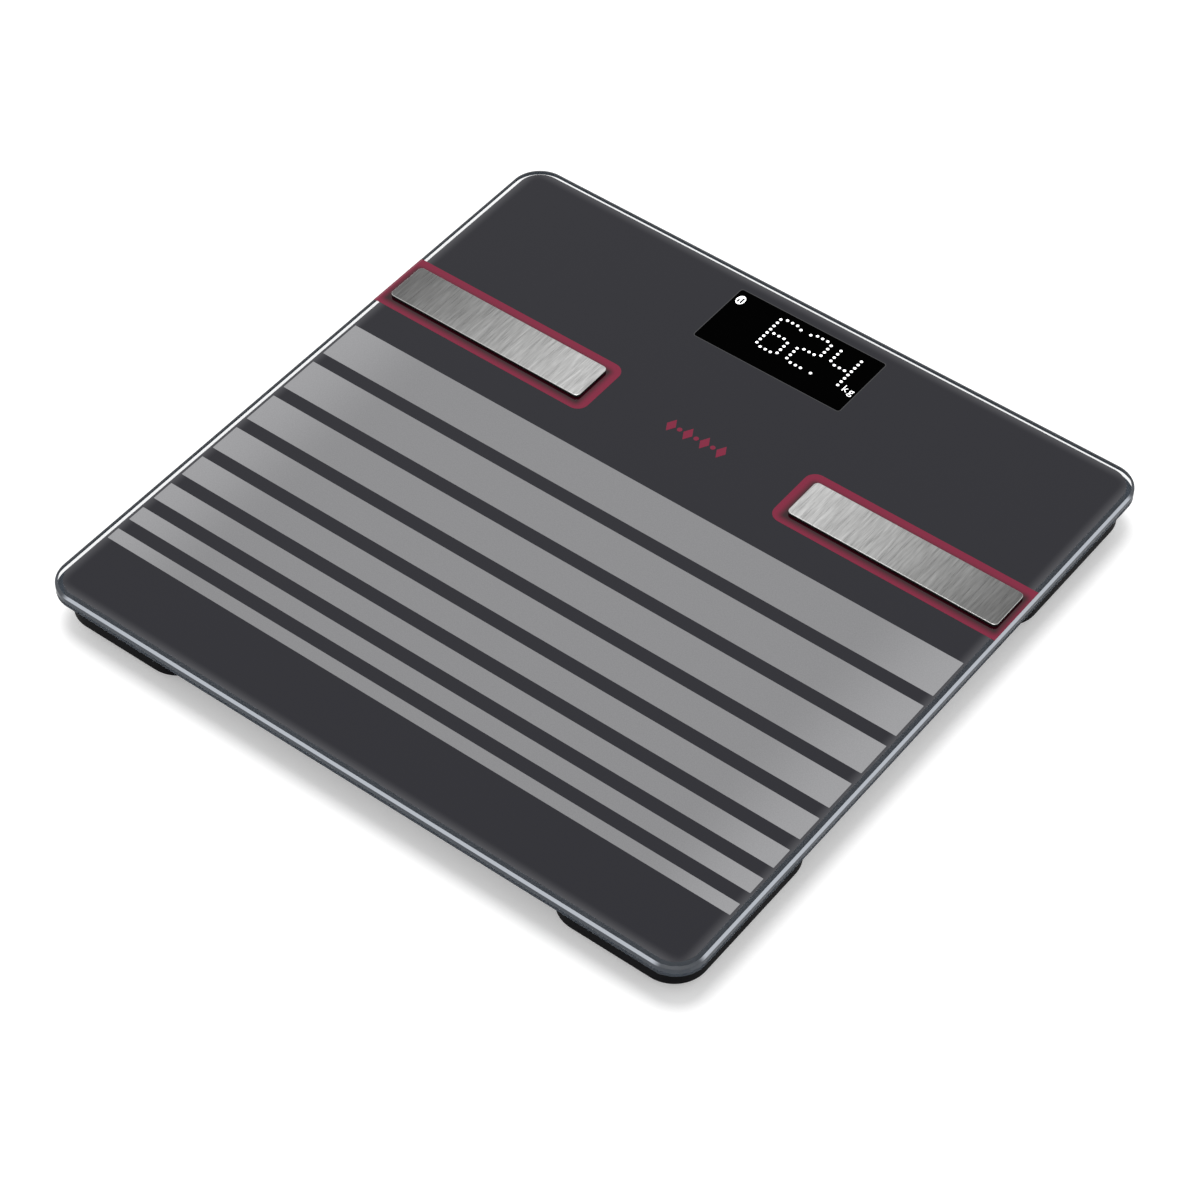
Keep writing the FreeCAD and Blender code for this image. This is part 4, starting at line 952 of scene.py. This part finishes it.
class ElectronicsOperator(bpy.types.Operator):
    """Finish the board, what it carries, and the unit button"""
    bl_idname = "bathroom_scale.electronics"
    bl_label = "Electronics"

    def execute(self, context):
        finish_nodes(circuit_board(), "main_board")
        finish_nodes(moulded_plastic("display_block", (0.004, 0.004, 0.004), 900, 0.3), "led_display")
        white = moulded_plastic("white_plastic", (0.62, 0.62, 0.58), 900, 0.45)
        finish_nodes(white, "lead_headers", "lead_clips")
        finish_nodes(moulded_plastic("chip_resin", (0.012, 0.012, 0.012), 1800, 0.6),
                     "controller_chip", "unit_switch", "unit_switch_plunger")
        finish_nodes(plated_metal("radio_can", (0.6, 0.6, 0.58)), "radio_module")
        finish_nodes(moulded_plastic("button_plastic", (0.16, 0.16, 0.165), 1200, 0.45),
                     "unit_button")
        return {"FINISHED"}


class LeadsOperator(bpy.types.Operator):
    """Finish the leads under the plate"""
    bl_idname = "bathroom_scale.leads"
    bl_label = "Leads"

    def execute(self, context):
        finish_nodes(lead_skin("red_lead", (0.42, 0.012, 0.012)),
                     *(f"load_cell_lead_{corner}" for corner in CORNERS))
        finish_nodes(lead_skin("white_lead", (0.6, 0.6, 0.58)), "electrode_lead_left",
                     "electrode_lead_right")
        return {"FINISHED"}


class StageOperator(bpy.types.Operator):
    """Set up the floor, the lights and the camera"""
    bl_idname = "bathroom_scale.stage"
    bl_label = "Studio"

    def execute(self, context):
        scene = context.scene
        stage = scene.bathroom_scale.stage
        half = stage.floor_half
        form = bmesh.new()
        form.faces.new([form.verts.new((x * half, y * half, 0))
                        for x, y in ((-1, -1), (1, -1), (1, 1), (-1, 1))])
        bmesh.ops.subdivide_edges(form, edges=form.edges, cuts=7, use_grid_fill=True)
        mesh = bpy.data.meshes.new("studio_floor")
        form.to_mesh(mesh)
        form.free()
        mesh.materials.append(studio_floor())
        floor = bpy.data.objects.new("studio_floor", mesh)
        scene.collection.objects.link(floor)

        world = bpy.data.worlds.new("studio_walls")
        world.use_nodes = True
        wall = world.node_tree.nodes["Background"]
        wall.inputs["Color"].default_value = (1, 1, 1, 1)
        wall.inputs["Strength"].default_value = stage.surround
        scene.world = world

        key = bpy.data.lights.new("key_light", "SUN")
        key.energy = stage.key
        key.angle = stage.key_spread
        lamp = bpy.data.objects.new("key_light", key)
        scene.collection.objects.link(lamp)
        lamp.rotation_euler = Vector(stage.key_way).to_track_quat("-Z", "Y").to_euler()

        lens = bpy.data.cameras.new("studio_camera")
        lens.lens = stage.camera_lens
        lens.sensor_width = 36
        lens.clip_start = 0.01
        camera = bpy.data.objects.new("studio_camera", lens)
        scene.collection.objects.link(camera)
        camera.location = stage.camera_place
        level = Quaternion((0, 0, 1), stage.camera_level)
        aim = Vector(stage.camera_ahead).to_track_quat("-Z", "Y") @ level
        camera.rotation_euler = aim.to_euler()
        scene.camera = camera
        scene.view_settings.view_transform = "Standard"
        return {"FINISHED"}


OPERATORS = (PlateOperator, StripesOperator, DisplayOperator, ElectrodesOperator, HousingsOperator,
             FeetOperator, FixingsOperator, PowerOperator, ElectronicsOperator, LeadsOperator,
             StageOperator)


class ScalePanel(bpy.types.Panel):
    """Lists the scale's pieces and its settings"""
    bl_idname = "VIEW3D_PT_bathroom_scale"
    bl_label = "Bathroom scale"
    bl_space_type = "VIEW_3D"
    bl_region_type = "UI"
    bl_category = "Bathroom scale"

    def draw(self, context):
        settings = context.scene.bathroom_scale
        for operator in OPERATORS:
            self.layout.operator(operator.bl_idname)
        for group in (settings.glass, settings.prints, settings.colours, settings.stage):
            box = self.layout.box()
            for name in group.bl_rna.properties.keys():
                if name not in ("rna_type", "name"):
                    box.prop(group, name)


CLASSES = (ScaleGlassSettings, ScalePrintSettings, ScaleColourSettings, ScaleStageSettings,
           ScaleSettings) + OPERATORS + (ScalePanel,)


def register():
    for kind in CLASSES:
        bpy.utils.register_class(kind)
    bpy.types.Scene.bathroom_scale = PointerProperty(type=ScaleSettings)


def unregister():
    del bpy.types.Scene.bathroom_scale
    for kind in reversed(CLASSES):
        bpy.utils.unregister_class(kind)


def main():
    register()
    bpy.ops.bathroom_scale.stage()
    bpy.ops.bathroom_scale.plate()
    bpy.ops.bathroom_scale.prints()
    bpy.ops.bathroom_scale.display()
    bpy.ops.bathroom_scale.electrodes()
    bpy.ops.bathroom_scale.housings()
    bpy.ops.bathroom_scale.feet()
    bpy.ops.bathroom_scale.fixings()
    bpy.ops.bathroom_scale.power()
    bpy.ops.bathroom_scale.electronics()
    bpy.ops.bathroom_scale.leads()


if __name__ == "__main__":
    main()
